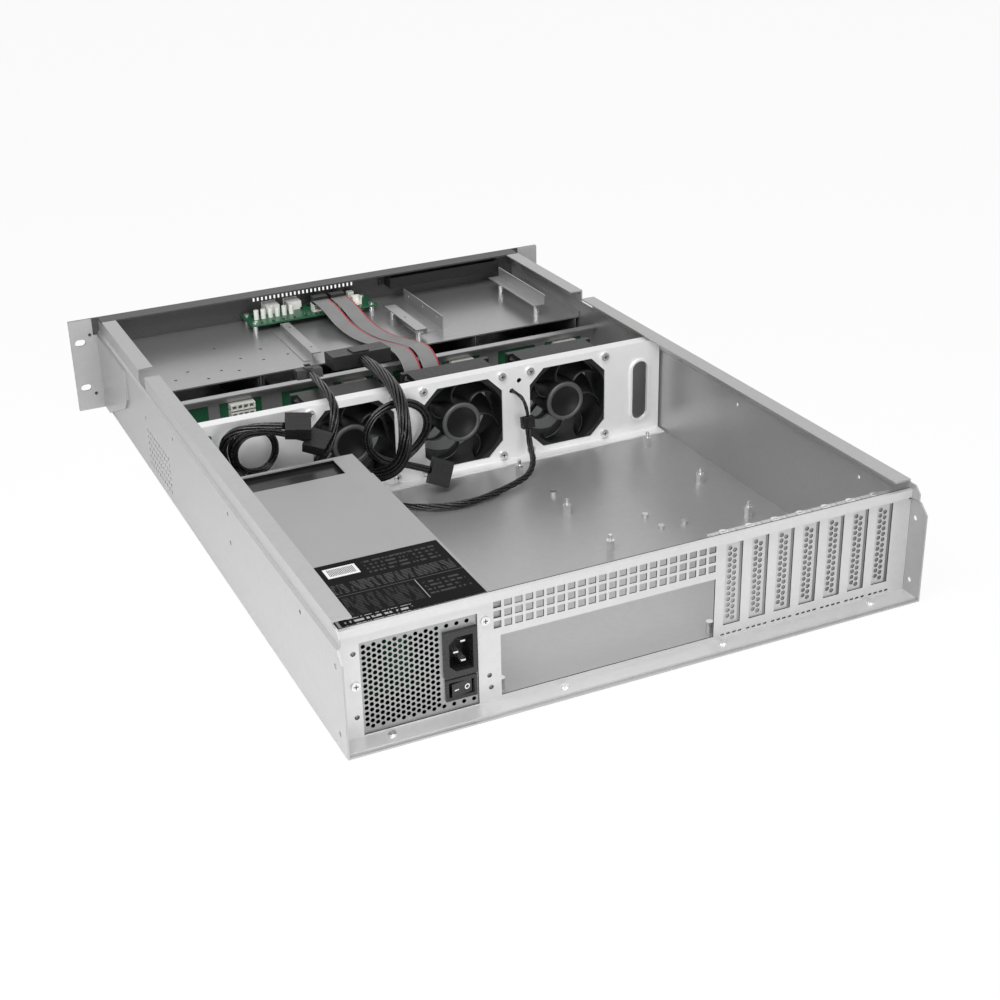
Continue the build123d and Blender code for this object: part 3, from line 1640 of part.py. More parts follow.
def build_parts():
    """Makes every piece and writes its file."""
    os.makedirs("parts", exist_ok=True)
    save("chassis_tray", chassis_tray())
    save("rear_panel", rear_panel())
    save("slot_rail", slot_rail())
    save("slot_covers", group([slot_cover(index) for index in range(slot_count)]))
    save("case_screws", group([slot_cover_screws(), case_screws(), fan_screws()]))
    save("psu_case", psu_case())
    save("psu_cover", psu_cover())
    save("psu_film", psu_film())
    save("psu_board", psu_board())
    save("psu_label", psu_label())
    save("psu_inlet", group([psu_inlet(), inlet_pins()]))
    save("psu_switch_housing", switch_housing())
    save("psu_switch_rocker", switch_rocker())
    save("psu_gland", psu_gland())
    save("fan_wall", fan_wall())
    for index in range(fan_count):
        save("fan_frame_" + str(index + 1), fan_frame(index))
        save("fan_rotor_" + str(index + 1), fan_rotor(index))
    save("drive_cage", drive_cage())
    save("cage_cover", cage_cover())
    for column in range(bay_columns):
        for row in range(bay_rows):
            save("drive_tray_" + str(column + 1) + "_" + str(row + 1), drive_tray(column, row))
    save("backplane_frame", backplane_frame())
    save("backplane_board", backplane_board())
    save("power_sockets", power_sockets())
    save("front_panel", front_panel())
    save("rack_ear_left", rack_ear(-1))
    save("rack_ear_right", rack_ear(1))
    save("slim_bay_blank", slim_blank())
    save("control_board", control_board())
    save("control_board_parts", control_parts())
    save("power_button", push_button(power_button_x))
    save("reset_button", push_button(reset_button_x))
    save("plain_bracket", plain_bracket())
    save("raised_bracket", raised_bracket())
    save("angle_bracket", angle_bracket())
    save("far_bracket", far_bracket())
    save("standoffs", group([bracket_posts(), board_standoffs()]))
    save_cables()


build_parts()
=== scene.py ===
import math
import bmesh
import bpy
from mathutils import Matrix, Vector, noise


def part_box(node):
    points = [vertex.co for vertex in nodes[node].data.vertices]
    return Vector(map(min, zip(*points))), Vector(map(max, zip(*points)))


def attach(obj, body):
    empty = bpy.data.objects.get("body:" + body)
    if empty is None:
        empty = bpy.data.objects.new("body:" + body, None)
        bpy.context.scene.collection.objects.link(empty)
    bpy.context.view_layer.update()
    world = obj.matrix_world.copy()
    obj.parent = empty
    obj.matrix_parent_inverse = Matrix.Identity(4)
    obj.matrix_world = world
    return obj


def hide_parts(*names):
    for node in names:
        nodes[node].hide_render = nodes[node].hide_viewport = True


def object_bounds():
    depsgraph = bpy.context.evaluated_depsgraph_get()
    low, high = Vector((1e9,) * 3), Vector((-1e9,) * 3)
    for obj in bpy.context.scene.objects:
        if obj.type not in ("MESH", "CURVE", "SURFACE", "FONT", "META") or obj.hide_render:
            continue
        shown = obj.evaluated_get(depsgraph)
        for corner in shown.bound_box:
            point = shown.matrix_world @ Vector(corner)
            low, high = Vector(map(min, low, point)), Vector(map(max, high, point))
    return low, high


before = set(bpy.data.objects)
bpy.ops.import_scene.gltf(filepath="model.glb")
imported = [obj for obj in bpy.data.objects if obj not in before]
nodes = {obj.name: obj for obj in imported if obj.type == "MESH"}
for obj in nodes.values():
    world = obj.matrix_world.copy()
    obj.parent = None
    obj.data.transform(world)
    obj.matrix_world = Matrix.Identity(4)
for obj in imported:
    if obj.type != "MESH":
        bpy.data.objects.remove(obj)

solid_box = [list(corner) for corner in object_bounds()]


# Camera: stands behind the case on the power supply's side and looks down over the open top.
# The shift keeps the case's uprights nearly upright, as in a product photo.
view_point = Vector((0.03528, 0.05217, 0.04))
view_azimuth = math.radians(22.604)
view_elevation = math.radians(24.83)
view_roll = math.radians(-2.328)
view_distance = 1.2463

outward = Vector((math.sin(view_azimuth) * math.cos(view_elevation),
                  math.cos(view_azimuth) * math.cos(view_elevation),
                  math.sin(view_elevation)))
level = (-outward).cross(Vector((0, 0, 1))).normalized()
rise = level.cross(-outward)
right = level * math.cos(view_roll) + rise * math.sin(view_roll)
up = rise * math.cos(view_roll) - level * math.sin(view_roll)
focal_length = 57.33
lens = bpy.data.cameras.new("camera")
lens.lens = focal_length
lens.shift_x = 0.0632
lens.shift_y = -0.0235
camera = bpy.data.objects.new("camera", lens)
camera.matrix_world = Matrix((
    (right.x, up.x, outward.x, view_point.x + view_distance * outward.x),
    (right.y, up.y, outward.y, view_point.y + view_distance * outward.y),
    (right.z, up.z, outward.z, view_point.z + view_distance * outward.z),
    (0, 0, 0, 1)))
bpy.context.collection.objects.link(camera)
bpy.context.scene.camera = camera
bpy.context.scene.view_settings.view_transform = "Standard"


# Lamps and backdrop: a soft lamp overhead, a low one beside the left wall, and a white room.
# The room is white where it is looked at or mirrored, and dimmer where it only lights the case.
def soft_lamp(name, place, aim, size, power):
    """A square studio lamp that faces a point."""
    lamp = bpy.data.lights.new(name, "AREA")
    lamp.size = size
    lamp.energy = power
    lamp_object = bpy.data.objects.new(name, lamp)
    lamp_object.location = place
    lamp_object.rotation_euler = (Vector(aim) - Vector(place)).to_track_quat("-Z", "Y").to_euler()
    bpy.context.collection.objects.link(lamp_object)


soft_lamp("overhead_lamp", (0.25, 0.7, 1.9), (0, 0.05, 0), 1.2, 18.5)
soft_lamp("key_lamp", (0.42, 0.42, 0.8), (0.05, 0.15, 0), 0.35, 4.5)
soft_lamp("side_lamp", (1.7, 0.35, 0.16), (0.2, 0.1, 0.04), 0.5, 14)
soft_lamp("rear_lamp", (0.25, 2.0, 0.45), (0, 0.3, 0.04), 0.7, 19)

room = bpy.data.worlds.new("white_room")
room.use_nodes = True
room_nodes = room.node_tree.nodes
room_nodes.clear()
room_path = room_nodes.new("ShaderNodeLightPath")
seen = room_nodes.new("ShaderNodeMath")
seen.operation = "MAXIMUM"
room.node_tree.links.new(room_path.outputs["Is Camera Ray"], seen.inputs[0])
room.node_tree.links.new(room_path.outputs["Is Glossy Ray"], seen.inputs[1])
seen_through = room_nodes.new("ShaderNodeMath")
seen_through.operation = "MAXIMUM"
room.node_tree.links.new(seen.outputs[0], seen_through.inputs[0])
room.node_tree.links.new(room_path.outputs["Is Transmission Ray"], seen_through.inputs[1])
light_on_case = 0.25
room_light = room_nodes.new("ShaderNodeMapRange")
room_light.inputs["To Min"].default_value = light_on_case
room_light.inputs["To Max"].default_value = 1.0
room.node_tree.links.new(seen_through.outputs[0], room_light.inputs["Value"])
room_glow = room_nodes.new("ShaderNodeBackground")
room_glow.inputs["Color"].default_value = (1, 1, 1, 1)
room.node_tree.links.new(room_light.outputs["Result"], room_glow.inputs["Strength"])
room_out = room_nodes.new("ShaderNodeOutputWorld")
room.node_tree.links.new(room_glow.outputs[0], room_out.inputs["Surface"])
bpy.context.scene.world = room


# Floor: white studio paper under the case. It glows faintly towards the camera,
# so that it stays white and still takes the case's shadow.
class Value:
    """One value in a finish, so that its sums read as plain arithmetic."""

    def __init__(self, finish, socket):
        self.finish = finish
        self.socket = socket

    def sum(self, operation, *values):
        return self.finish.node("ShaderNodeMath", {"operation": operation}, dict(enumerate(values)))

    def __add__(self, other):
        return self.sum("ADD", self, other)

    __radd__ = __add__

    def __sub__(self, other):
        return self.sum("SUBTRACT", self, other)

    def __rsub__(self, other):
        return self.sum("SUBTRACT", other, self)

    def __mul__(self, other):
        return self.sum("MULTIPLY", self, other)

    __rmul__ = __mul__

    def __gt__(self, other):
        return self.sum("GREATER_THAN", self, other)

    def __lt__(self, other):
        return self.sum("LESS_THAN", self, other)

    def __mod__(self, other):
        return self.sum("FLOORED_MODULO", self, other)

    def between(self, low, high):
        """1 from low to high, 0 elsewhere."""
        return (self > low) * (self < high)


class Finish:
    """One material and the nodes that it is made of."""

    def __init__(self, name):
        self.material = bpy.data.materials.new(name)
        self.material.use_nodes = True
        self.tree = self.material.node_tree
        self.tree.nodes.clear()

    def node(self, kind, settings=None, inputs=None, output=0):
        """Adds a node, makes its settings, feeds its sockets and returns one of its outputs."""
        made = self.tree.nodes.new(kind)
        for name, value in (settings or {}).items():
            setattr(made, name, value)
        for name, value in (inputs or {}).items():
            if isinstance(value, Value):
                self.tree.links.new(value.socket, made.inputs[name])
            else:
                made.inputs[name].default_value = value
        return Value(self, made.outputs[output]) if made.outputs else None

    def place(self):
        """Where a point of the piece is, in metres."""
        return self.node("ShaderNodeTexCoord", output="Object")

    def along(self, axis):
        """Where a point of the piece is along one axis, in metres."""
        return self.node("ShaderNodeSeparateXYZ", inputs={0: self.place()}, output="XYZ".index(axis))

    def grain(self, scale, stretch=(1, 1, 1), detail=2.0):
        """Noise of a size, stretched along the axes."""
        stretched = self.node("ShaderNodeMapping", inputs={"Vector": self.place(), "Scale": stretch})
        return self.node("ShaderNodeTexNoise", inputs={"Vector": stretched, "Scale": scale, "Detail": detail})

    def mix(self, share, first, second):
        """Two colours, mixed."""
        return self.node("ShaderNodeMix", {"data_type": "RGBA"}, {0: share, 6: first, 7: second}, output=2)

    def bump(self, height, depth, strength=1.0):
        """A surface's small heights, in metres."""
        return self.node("ShaderNodeBump", inputs={"Height": height, "Distance": depth, "Strength": strength})

    def surface(self, **sockets):
        """The finish's own surface; a socket's name is written with an underscore for its space."""
        named = {name.replace("_", " "): value for name, value in sockets.items()}
        shine = self.node("ShaderNodeBsdfPrincipled", inputs=named)
        self.node("ShaderNodeOutputMaterial", inputs={"Surface": shine})
        return self.material


def grey(shade):
    """A neutral colour."""
    return (shade, shade, shade, 1.0)


paper = Finish("studio_paper")
paper_path = paper.node("ShaderNodeLightPath", output="Is Camera Ray")
paper_dull = paper.node("ShaderNodeBsdfDiffuse", inputs={"Color": grey(0.86)})
paper_glow = paper.node("ShaderNodeEmission", inputs={"Color": grey(1.0), "Strength": 1.0})
paper_mix = paper.node("ShaderNodeMixShader", inputs={0: paper_path * 0.94, 1: paper_dull, 2: paper_glow})
paper.node("ShaderNodeOutputMaterial", inputs={"Surface": paper_mix})

floor_mesh = bpy.data.meshes.new("studio_floor")
floor_reach = 9
floor_top = -0.0004
floor_mesh.from_pydata([(x * floor_reach, y * floor_reach, floor_top)
                        for x, y in ((-1, -1), (1, -1), (1, 1), (-1, 1))], [], [(0, 1, 2, 3)])
floor_mesh.materials.append(paper.material)
floor = bpy.data.objects.new("studio_floor", floor_mesh)
bpy.context.collection.objects.link(floor)


# Loose cables: bundles of black insulated wires that leave the power supply through its bush.
# Each follows one smooth line; its wires are twisted together and wander a little.
def smooth_line(points):
    """Closely spaced points on the smooth line that a route's points draw."""
    curve = bpy.data.curves.new("route", "CURVE")
    curve.dimensions = "3D"
    curve.resolution_u = 14
    spline = curve.splines.new("NURBS")
    spline.points.add(len(points) - 1)
    for target, point in zip(spline.points, points):
        target.co = (*point, 1.0)
    spline.order_u = 3
    spline.use_endpoint_u = True
    carrier = bpy.data.objects.new("route", curve)
    bpy.context.collection.objects.link(carrier)
    bpy.context.view_layer.update()
    drawn = bpy.data.meshes.new_from_object(carrier)
    line = [vertex.co.copy() for vertex in drawn.vertices]
    bpy.data.objects.remove(carrier)
    return line


def carried_frames(line):
    """At each point of a line its direction and two steady side directions."""
    frames = []
    side = None
    for index, point in enumerate(line):
        ahead = line[min(index + 1, len(line) - 1)]
        behind = line[max(index - 1, 0)]
        direction = (ahead - behind).normalized()
        if side is None:
            side = direction.orthogonal().normalized()
        side = (side - direction * side.dot(direction)).normalized()
        frames.append((point, direction, side, direction.cross(side)))
    return frames


def add_wire(mesh, centres, radius, sides=8):
    """One round wire along its centres, closed at both ends."""
    rings = []
    for point, direction, side, other in carried_frames(centres):
        ring = []
        for step in range(sides):
            turn = 2 * math.pi * step / sides
            ring.append(mesh.verts.new(point + side * (radius * math.cos(turn))
                                       + other * (radius * math.sin(turn))))
        rings.append(ring)
    for ring, following in zip(rings, rings[1:]):
        for step in range(sides):
            after = (step + 1) % sides
            mesh.faces.new((ring[step], ring[after], following[after], following[step]))
    mesh.faces.new(list(reversed(rings[0])))
    mesh.faces.new(rings[-1])


def packed_places(count):
    """Places of equal wires packed in a round bundle of radius 1, and a wire's own radius."""
    if count <= 4:
        ring = 0.55
        return [(ring * math.cos(2 * math.pi * k / count), ring * math.sin(2 * math.pi * k / count))
                for k in range(count)], 0.42
    rows = 1 if count <= 7 else 2
    radius = 1 / (2 * rows + 1)
    places = [(0.0, 0.0)]
    for ring in range(1, rows + 1):
        for k in range(6 * ring):
            turn = 2 * math.pi * k / (6 * ring)
            places.append((2 * radius * ring * math.cos(turn), 2 * radius * ring * math.sin(turn)))
    return places, radius


def to_object(mesh, name, material, smooth=True):
    """Turns worked mesh data into a piece with its finish."""
    data = bpy.data.meshes.new(name)
    mesh.to_mesh(data)
    mesh.free()
    data.materials.append(material)
    for polygon in data.polygons:
        polygon.use_smooth = smooth
    made = bpy.data.objects.new(name, data)
    bpy.context.collection.objects.link(made)
    return made


bundle_slack = 0.97
most_swell = 1.55
floor_clearance = 0.0014


def wire_bundle(name, points, diameter, count, turns, looseness, material):
    """A bundle of wires along a route, tight at both ends and looser between them."""
    line = smooth_line(points)
    frames = carried_frames(line)
    places, share = packed_places(count)
    wire_radius = share * diameter / 2 * bundle_slack
    highest = solid_box[1][2] - wire_radius
    lowest = floor_clearance + wire_radius
    mesh = bmesh.new()
    for number, (a, b) in enumerate(places):
        centres = []
        for index, (point, direction, side, other) in enumerate(frames):
            along = index / (len(frames) - 1)
            turn = 2 * math.pi * turns * along
            wander = 0.6 + 0.8 * noise.noise(Vector((number * 3.7, along * 4.0, 0.5)))
            swell = min(1.0 + looseness * math.sin(math.pi * along) * wander, most_swell)
            x = (a * math.cos(turn) - b * math.sin(turn)) * swell
            y = (a * math.sin(turn) + b * math.cos(turn)) * swell
            centre = point + side * (x * diameter / 2) + other * (y * diameter / 2)
            centre.z = min(max(centre.z, lowest), highest)
            centres.append(centre)
        add_wire(mesh, centres, wire_radius)
    return to_object(mesh, name, material), line


wire_black = Finish("black_wire_insulation")
wire_rough = wire_black.grain(260)
wire_insulation = wire_black.surface(
    Base_Color=wire_black.mix(wire_black.grain(90), grey(0.004), grey(0.009)),
    Roughness=wire_rough * 0.14 + 0.20,
    Normal=wire_black.bump(wire_black.grain(900), 0.00006),
    Specular_IOR_Level=0.4)

main_route = [(0.150, 0.0435, 0.047), (0.150, 0.016, 0.047), (0.132, -0.007, 0.041),
              (0.100, -0.013, 0.031), (0.071, 0.001, 0.025), (0.055, 0.025, 0.041),
              (0.050, 0.030, 0.068), (0.046, 0.013, 0.088), (0.042, -0.012, 0.094),
              (0.039, -0.046, 0.094), (0.036, -0.078, 0.090), (0.036, -0.099, 0.088)]
processor_route = [(0.160, 0.0435, 0.038), (0.160, 0.020, 0.038), (0.174, 0.001, 0.044),
                   (0.191, -0.006, 0.060), (0.188, -0.002, 0.086), (0.165, 0.005, 0.092),
                   (0.143, 0.012, 0.090)]
drive_route = [(0.140, 0.0435, 0.038), (0.140, 0.022, 0.038), (0.124, 0.010, 0.046),
               (0.107, 0.008, 0.062), (0.099, 0.004, 0.084), (0.094, -0.015, 0.0935),
               (0.092, -0.044, 0.0935), (0.087, -0.076, 0.089), (0.084, -0.098, 0.084)]
fan_power_route = [(0.150, 0.0435, 0.028), (0.150, 0.020, 0.028), (0.138, 0.001, 0.017),
                   (0.115, -0.009, 0.010), (0.091, -0.010, 0.006), (0.067, 0.008, 0.005),
                   (0.043, 0.032, 0.0055), (0.014, 0.041, 0.005), (-0.014, 0.038, 0.005),
                   (-0.040, 0.028, 0.005), (-0.060, 0.020, 0.006), (-0.073, 0.006, 0.011),
                   (-0.075, -0.007, 0.022), (-0.075, -0.009, 0.036)]
fan_lead_route = [(-0.0691, -0.0282, 0.064), (-0.0705, -0.017, 0.065), (-0.0735, -0.009, 0.058),
                  (-0.075, -0.009, 0.046)]
peripheral_route = [(0.142, 0.0435, 0.029), (0.142, 0.021, 0.029), (0.127, 0.003, 0.027),
                    (0.105, -0.004, 0.021), (0.080, -0.014, 0.018), (0.054, -0.018, 0.019),
                    (0.030, -0.018, 0.029), (0.014, -0.015, 0.047), (0.014, -0.012, 0.066),
                    (0.028, -0.009, 0.080), (0.048, -0.007, 0.083), (0.066, -0.006, 0.074),
                    (0.073, -0.005, 0.056), (0.065, -0.004, 0.040), (0.048, -0.003, 0.032),
                    (0.033, -0.002, 0.027), (0.019, 0.000, 0.021)]
graphics_route = [(0.158, 0.0435, 0.0295), (0.158, 0.022, 0.0295), (0.159, 0.007, 0.030),
                  (0.165, -0.005, 0.034), (0.174, -0.012, 0.043), (0.1804, -0.014, 0.0603),
                  (0.1806, -0.0133, 0.0697), (0.1757, -0.0127, 0.078), (0.1677, -0.012, 0.0827),
                  (0.1583, -0.0113, 0.0825), (0.1502, -0.0107, 0.0777), (0.1454, -0.010, 0.0697),
                  (0.1456, -0.0093, 0.0603), (0.1503, -0.0087, 0.0522), (0.1583, -0.008, 0.0476),
                  (0.1677, -0.0073, 0.0478), (0.1755, -0.0067, 0.0525), (0.180, -0.006, 0.0605),
                  (0.180, -0.0053, 0.0696), (0.1754, -0.0047, 0.0773), (0.1677, -0.004, 0.082),
                  (0.150, 0.002, 0.083), (0.138, 0.010, 0.0805), (0.128, 0.018, 0.078)]

# name, route, diameter, wires, turns of twist, looseness, length, the CAD node that its wires stand for
loose_cables = [
    ("main", main_route, 0.009, 19, 1.2, 0.45, 0.316, "main_cable"),
    ("processor", processor_route, 0.006, 7, 1.0, 0.45, 0.140, "processor_cable"),
    ("drive", drive_route, 0.006, 7, 1.3, 0.45, 0.192, "drive_cable"),
    ("fan_power", fan_power_route, 0.005, 7, 5.0, 0.3, 0.3165, "fan_power_cable"),
    ("fan_lead", fan_lead_route, 0.003, 4, 0.6, 0.2, 0.0334, "fan_lead"),
    ("peripheral", peripheral_route, 0.006, 7, 1.0, 0.45, 0.333, "peripheral_cable"),
    ("graphics", graphics_route, 0.005, 7, 1.5, 0.4, 0.2656, "graphics_cable"),
]
cable_lines = {}
for name, route, diameter, count, turns, looseness, length, node in loose_cables:
    piece, line = wire_bundle(name + "_wires", route, diameter, count, turns, looseness, wire_insulation)
    cable_lines[name] = (piece, line, route, diameter, length)
    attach(piece, "case")
    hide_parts(node)


# Plugs on the loose cables: moulded black housings with a cell for each contact and a latch.
# They lie on the heap where the photo shows them.
def slab(mesh, low, high):
    """A box between two corners."""
    corners = [(x, y, z) for x in (low[0], high[0]) for y in (low[1], high[1]) for z in (low[2], high[2])]
    v = [mesh.verts.new(corner) for corner in corners]
    for face in ((0, 1, 3, 2), (4, 6, 7, 5), (0, 4, 5, 1), (2, 3, 7, 6), (0, 2, 6, 4), (1, 5, 7, 3)):
        mesh.faces.new([v[corner] for corner in face])


def soften(piece, width):
    """Rounds a piece's sharp edges, as moulding or folding does."""
    rounding = piece.modifiers.new("rounded_edges", "BEVEL")
    rounding.width = width
    rounding.segments = 2
    rounding.limit_method = "ANGLE"
    rounding.angle_limit = math.radians(40)


def cell_plug(mesh, start, behind, width, length, height, columns, rows):
    """A plug at the end of a cable, its cells open away from the cable."""
    direction = (Vector(start) - Vector(behind)).normalized()
    across = Vector((1, 0, 0))
    across = (across - direction * across.dot(direction)).normalized()
    over = direction.cross(across)
    turn = Matrix((across, over, direction)).transposed().to_4x4()
    turn.translation = Vector(start)
    first = len(mesh.verts)
    back = length * 0.42
    slab(mesh, (-width / 2, -height / 2, 0), (width / 2, height / 2, back))
    wall = 0.0007
    for column in range(columns + 1):
        x = -width / 2 + (width - wall) * column / columns
        slab(mesh, (x, -height / 2, back), (x + wall, height / 2, length))
    for row in range(rows + 1):
        y = -height / 2 + (height - wall) * row / rows
        slab(mesh, (-width / 2, y, back), (width / 2, y + wall, length))
    slab(mesh, (-width * 0.14, height / 2, length * 0.1), (width * 0.14, height / 2 + 0.0012, length * 0.72))
    slab(mesh, (-width * 0.5, -height / 2 - 0.0003, length * 0.2), (width * 0.5, -height / 2, length * 0.26))
    mesh.verts.ensure_lookup_table()
    bmesh.ops.transform(mesh, matrix=turn, verts=mesh.verts[first:])


moulded = Finish("moulded_black_nylon")
moulded_black = moulded.surface(
    Base_Color=moulded.mix(moulded.grain(140), grey(0.005), grey(0.012)),
    Roughness=moulded.grain(420) * 0.2 + 0.3,
    Specular_IOR_Level=0.3,
    Normal=moulded.bump(moulded.grain(1400), 0.00008))

# cable, width, length, height, cells across, rows of cells, the CAD node that the plug stands for
plugs = [
    ("main", 0.052, 0.024, 0.0118, 12, 2, "main_plug"),
    ("processor", 0.022, 0.020, 0.0095, 4, 2, "processor_plug"),
    ("drive", 0.022, 0.018, 0.0078, 4, 1, "drive_plugs"),
    ("fan_power", 0.011, 0.0098, 0.0056, 4, 1, "fan_plug"),
    ("peripheral", 0.022, 0.018, 0.0078, 4, 1, "drive_plugs"),
    ("graphics", 0.022, 0.018, 0.0078, 4, 1, "drive_plugs"),
]
plug_on = {}
for cable, width, length, height, columns, rows, node in plugs:
    route = cable_lines[cable][2]
    housing = bmesh.new()
    cell_plug(housing, route[-1], route[-2], width, length, height, columns, rows)
    housing = to_object(housing, cable + "_plug_housing", moulded_black, False)
    soften(housing, 0.0003)
    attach(housing, "case")
    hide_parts(node)
    plug_on[cable] = housing
plug_on["fan_lead"] = plug_on["fan_power"]


# Case body: floor, side walls and rear panel folded from zinc-coated sheet steel.
# The sheet keeps its rolling grain, faint crystals of zinc and a soft sheen; the walls of its holes carry
# painted shade.
def dress(material, *names):
    """Gives CAD nodes their finish."""
    for name in names:
        nodes[name].data.materials.clear()
        nodes[name].data.materials.append(material)


no_hole_shade = (9.0, 9.0)    # far behind the case, so that no painted hole shade falls on the sheet


def zinc_sheet(name, shade, metal, rough, grain_along, edges=no_hole_shade):
    """Zinc-coated sheet steel, its rolling grain along one axis; its hole walls between two depths are
    painted near black as shade.
    """
    zinc = Finish(name)
    # Painted shade: the walls of holes between the two depths are coloured near black, for the shade inside
    # them.
    painted_hole_shade = zinc.along("Y").between(*edges)
    stretch = [900, 900, 900]
    stretch[grain_along] = 14
    rolled = zinc.grain(1.0, stretch, 3.0)
    cloud = zinc.grain(9, detail=4.0)
    crystal = zinc.node("ShaderNodeTexVoronoi", {"feature": "F1"},
                        {"Vector": zinc.place(), "Scale": 260}, output="Color")
    sparkle = zinc.node("ShaderNodeSeparateColor", inputs={0: crystal})
    tone = cloud * 0.10 + rolled * 0.05 + sparkle * 0.035
    sheet = zinc.mix(tone, grey(shade * 0.86), grey(min(1.0, shade * 1.9)))
    return zinc.surface(
        Base_Color=zinc.mix(painted_hole_shade, sheet, grey(0.03)),
        Metallic=metal,
        Roughness=rolled * 0.08 + cloud * 0.10 + (rough - 0.09),
        Normal=zinc.bump(rolled, 0.00003, 0.5))


body_zinc = zinc_sheet("zinc_sheet_body", 0.42, 0.66, 0.34, 1)
# The two depths given to the rear panel and the slot covers mark the walls of their holes, which get painted
# shade.
panel_zinc = zinc_sheet("zinc_sheet_panel", 0.58, 0.45, 0.36, 0, (0.3069, 0.3079))
# Lit and shaded copies of the body's zinc sheet: the fan wall is painted lighter as painted light, the ears
# and slot covers darker as painted shade.
cover_zinc_painted_shade = zinc_sheet("zinc_sheet_slot_covers_painted_shade", 0.48, 0.45, 0.36, 2, (0.30605, 0.30675))
wall_zinc_painted_light = zinc_sheet("zinc_sheet_fan_wall_painted_light", 0.86, 0.30, 0.38, 0)
ear_zinc_painted_shade = zinc_sheet("zinc_sheet_ears_painted_shade", 0.40, 0.60, 0.36, 2)
cage_zinc = zinc_sheet("zinc_sheet_cage", 0.40, 0.72, 0.30, 0)
dress(body_zinc, "chassis_tray")
dress(panel_zinc, "rear_panel", "slot_rail")
dress(cover_zinc_painted_shade, "slot_covers")
dress(wall_zinc_painted_light, "fan_wall")
dress(ear_zinc_painted_shade, "rack_ear_left", "rack_ear_right")
dress(cage_zinc, "cage_cover", "drive_cage", "backplane_frame", "plain_bracket", "raised_bracket",
      "angle_bracket", "far_bracket")


# Screws and posts: turned and headed steel with a bright nickel plating.
# The fans' screws and two of the supply's have domed heads with a cross recess, drawn as a dark cross of
# painted shade.
nickel = Finish("bright_nickel")
bright_nickel = nickel.surface(
    Base_Color=nickel.mix(nickel.grain(300), grey(0.62), grey(0.80)),
    Metallic=0.9,
    Roughness=nickel.grain(700) * 0.14 + 0.16,
    Normal=nickel.bump(nickel.grain(1500), 0.00002))
dress(bright_nickel, "case_screws", "standoffs")

# Painted shade for the cross recesses: a near-black finish stands in for the shade inside them.
recess = Finish("painted_recess_shade")
recess_painted_shade = recess.surface(
    Base_Color=recess.mix(recess.grain(300), grey(0.03), grey(0.07)),
    Metallic=0.5,
    Roughness=recess.grain(500) * 0.1 + 0.45)


def pan_head(mesh, centre, outward_side, radius, height):
    """A domed screw head with a cross recess, drawn as a dark cross of painted shade."""
    turn = Vector(outward_side).to_track_quat("Z", "Y").to_matrix().to_4x4()
    turn.translation = Vector(centre)
    first = len(mesh.verts)
    steps = 28
    dome = ((1.0, 0.0), (1.0, 0.4), (0.93, 0.66), (0.78, 0.86), (0.5, 0.97))
    rings = []
    for share, rise_share in dome:
        rings.append([mesh.verts.new((radius * share * math.cos(2 * math.pi * k / steps),
                                      radius * share * math.sin(2 * math.pi * k / steps),
                                      height * rise_share))
                      for k in range(steps)])
    for ring, following in zip(rings, rings[1:]):
        for k in range(steps):
            after = (k + 1) % steps
            mesh.faces.new((ring[k], ring[after], following[after], following[k]))
    mesh.faces.new(rings[-1])
    # The cross sits just above the dome and takes the second finish, painted shade for the recess.
    arm, half = radius * 0.52, radius * 0.11
    known = set(mesh.faces)
    slab(mesh, (-arm, -half, height * 0.9), (arm, half, height * 1.01))
    slab(mesh, (-half, -arm, height * 0.9), (half, arm, height * 1.01))
    for face in mesh.faces:
        if face not in known:
            face.material_index = 1
    mesh.verts.ensure_lookup_table()
    bmesh.ops.transform(mesh, matrix=turn, verts=mesh.verts[first:])


rearward = (0, 1, 0)
fan_height = 0.043
fan_screw_reach = 0.03575
fan_wall_rear = -0.027
rear_panel_face = 0.308
heads = bmesh.new()
for fan_x in (-0.122, -0.0242, 0.0736):
    for side in (-fan_screw_reach, fan_screw_reach):
        for z in (fan_height - fan_screw_reach, fan_height + fan_screw_reach):
            pan_head(heads, (fan_x + side, fan_wall_rear, z), rearward, 0.0037, 0.00215)
for x, z in ((0.2015, 0.040), (0.1135, 0.063)):
    pan_head(heads, (x, rear_panel_face, z), rearward, 0.0031, 0.0019)
heads = to_object(heads, "cross_recess_heads", bright_nickel)
heads.data.materials.append(recess_painted_shade)
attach(heads, "case")


# Power supply: nickel-coated sheet steel box with a black label across the rear of its cover.
# A glossy black film shows in the cover's open front end. The inlet and the switch are moulded
# black plastic, with bright contacts and white marks.
supply = Finish("nickel_sheet")
supply_grain = supply.grain(1.0, (700, 12, 700), 3.0)
supply_cloud = supply.grain(12, detail=3.0)
# Painted shade: inside the box the steel is coloured near black, for the shadow in its interior.
painted_supply_interior_shade = (supply.along("X").between(0.1029, 0.2011) * supply.along("Y").between(0.0474, 0.3064)
                 * (supply.along("Z") < 0.0705))
supply_sheet = supply.mix(supply_grain * 0.4 + supply_cloud * 0.6, grey(0.28), grey(0.36))
supply_steel = supply.surface(
    Base_Color=supply.mix(painted_supply_interior_shade, supply_sheet, grey(0.008)),
    Metallic=0.55,
    Roughness=supply_grain * 0.10 + 0.33,
    Normal=supply.bump(supply_grain, 0.00003, 0.5))
dress(supply_steel, "psu_case", "psu_cover")

film = Finish("glossy_black_film")
film_wave = film.grain(26, detail=1.0)
film_black = film.surface(
    Base_Color=film.mix(film.grain(60), grey(0.008), grey(0.02)),
    Roughness=film_wave * 0.1 + 0.2,
    Specular_IOR_Level=0.35,
    Normal=film.bump(film_wave, 0.0012, 0.6))
dress(film_black, "psu_film")

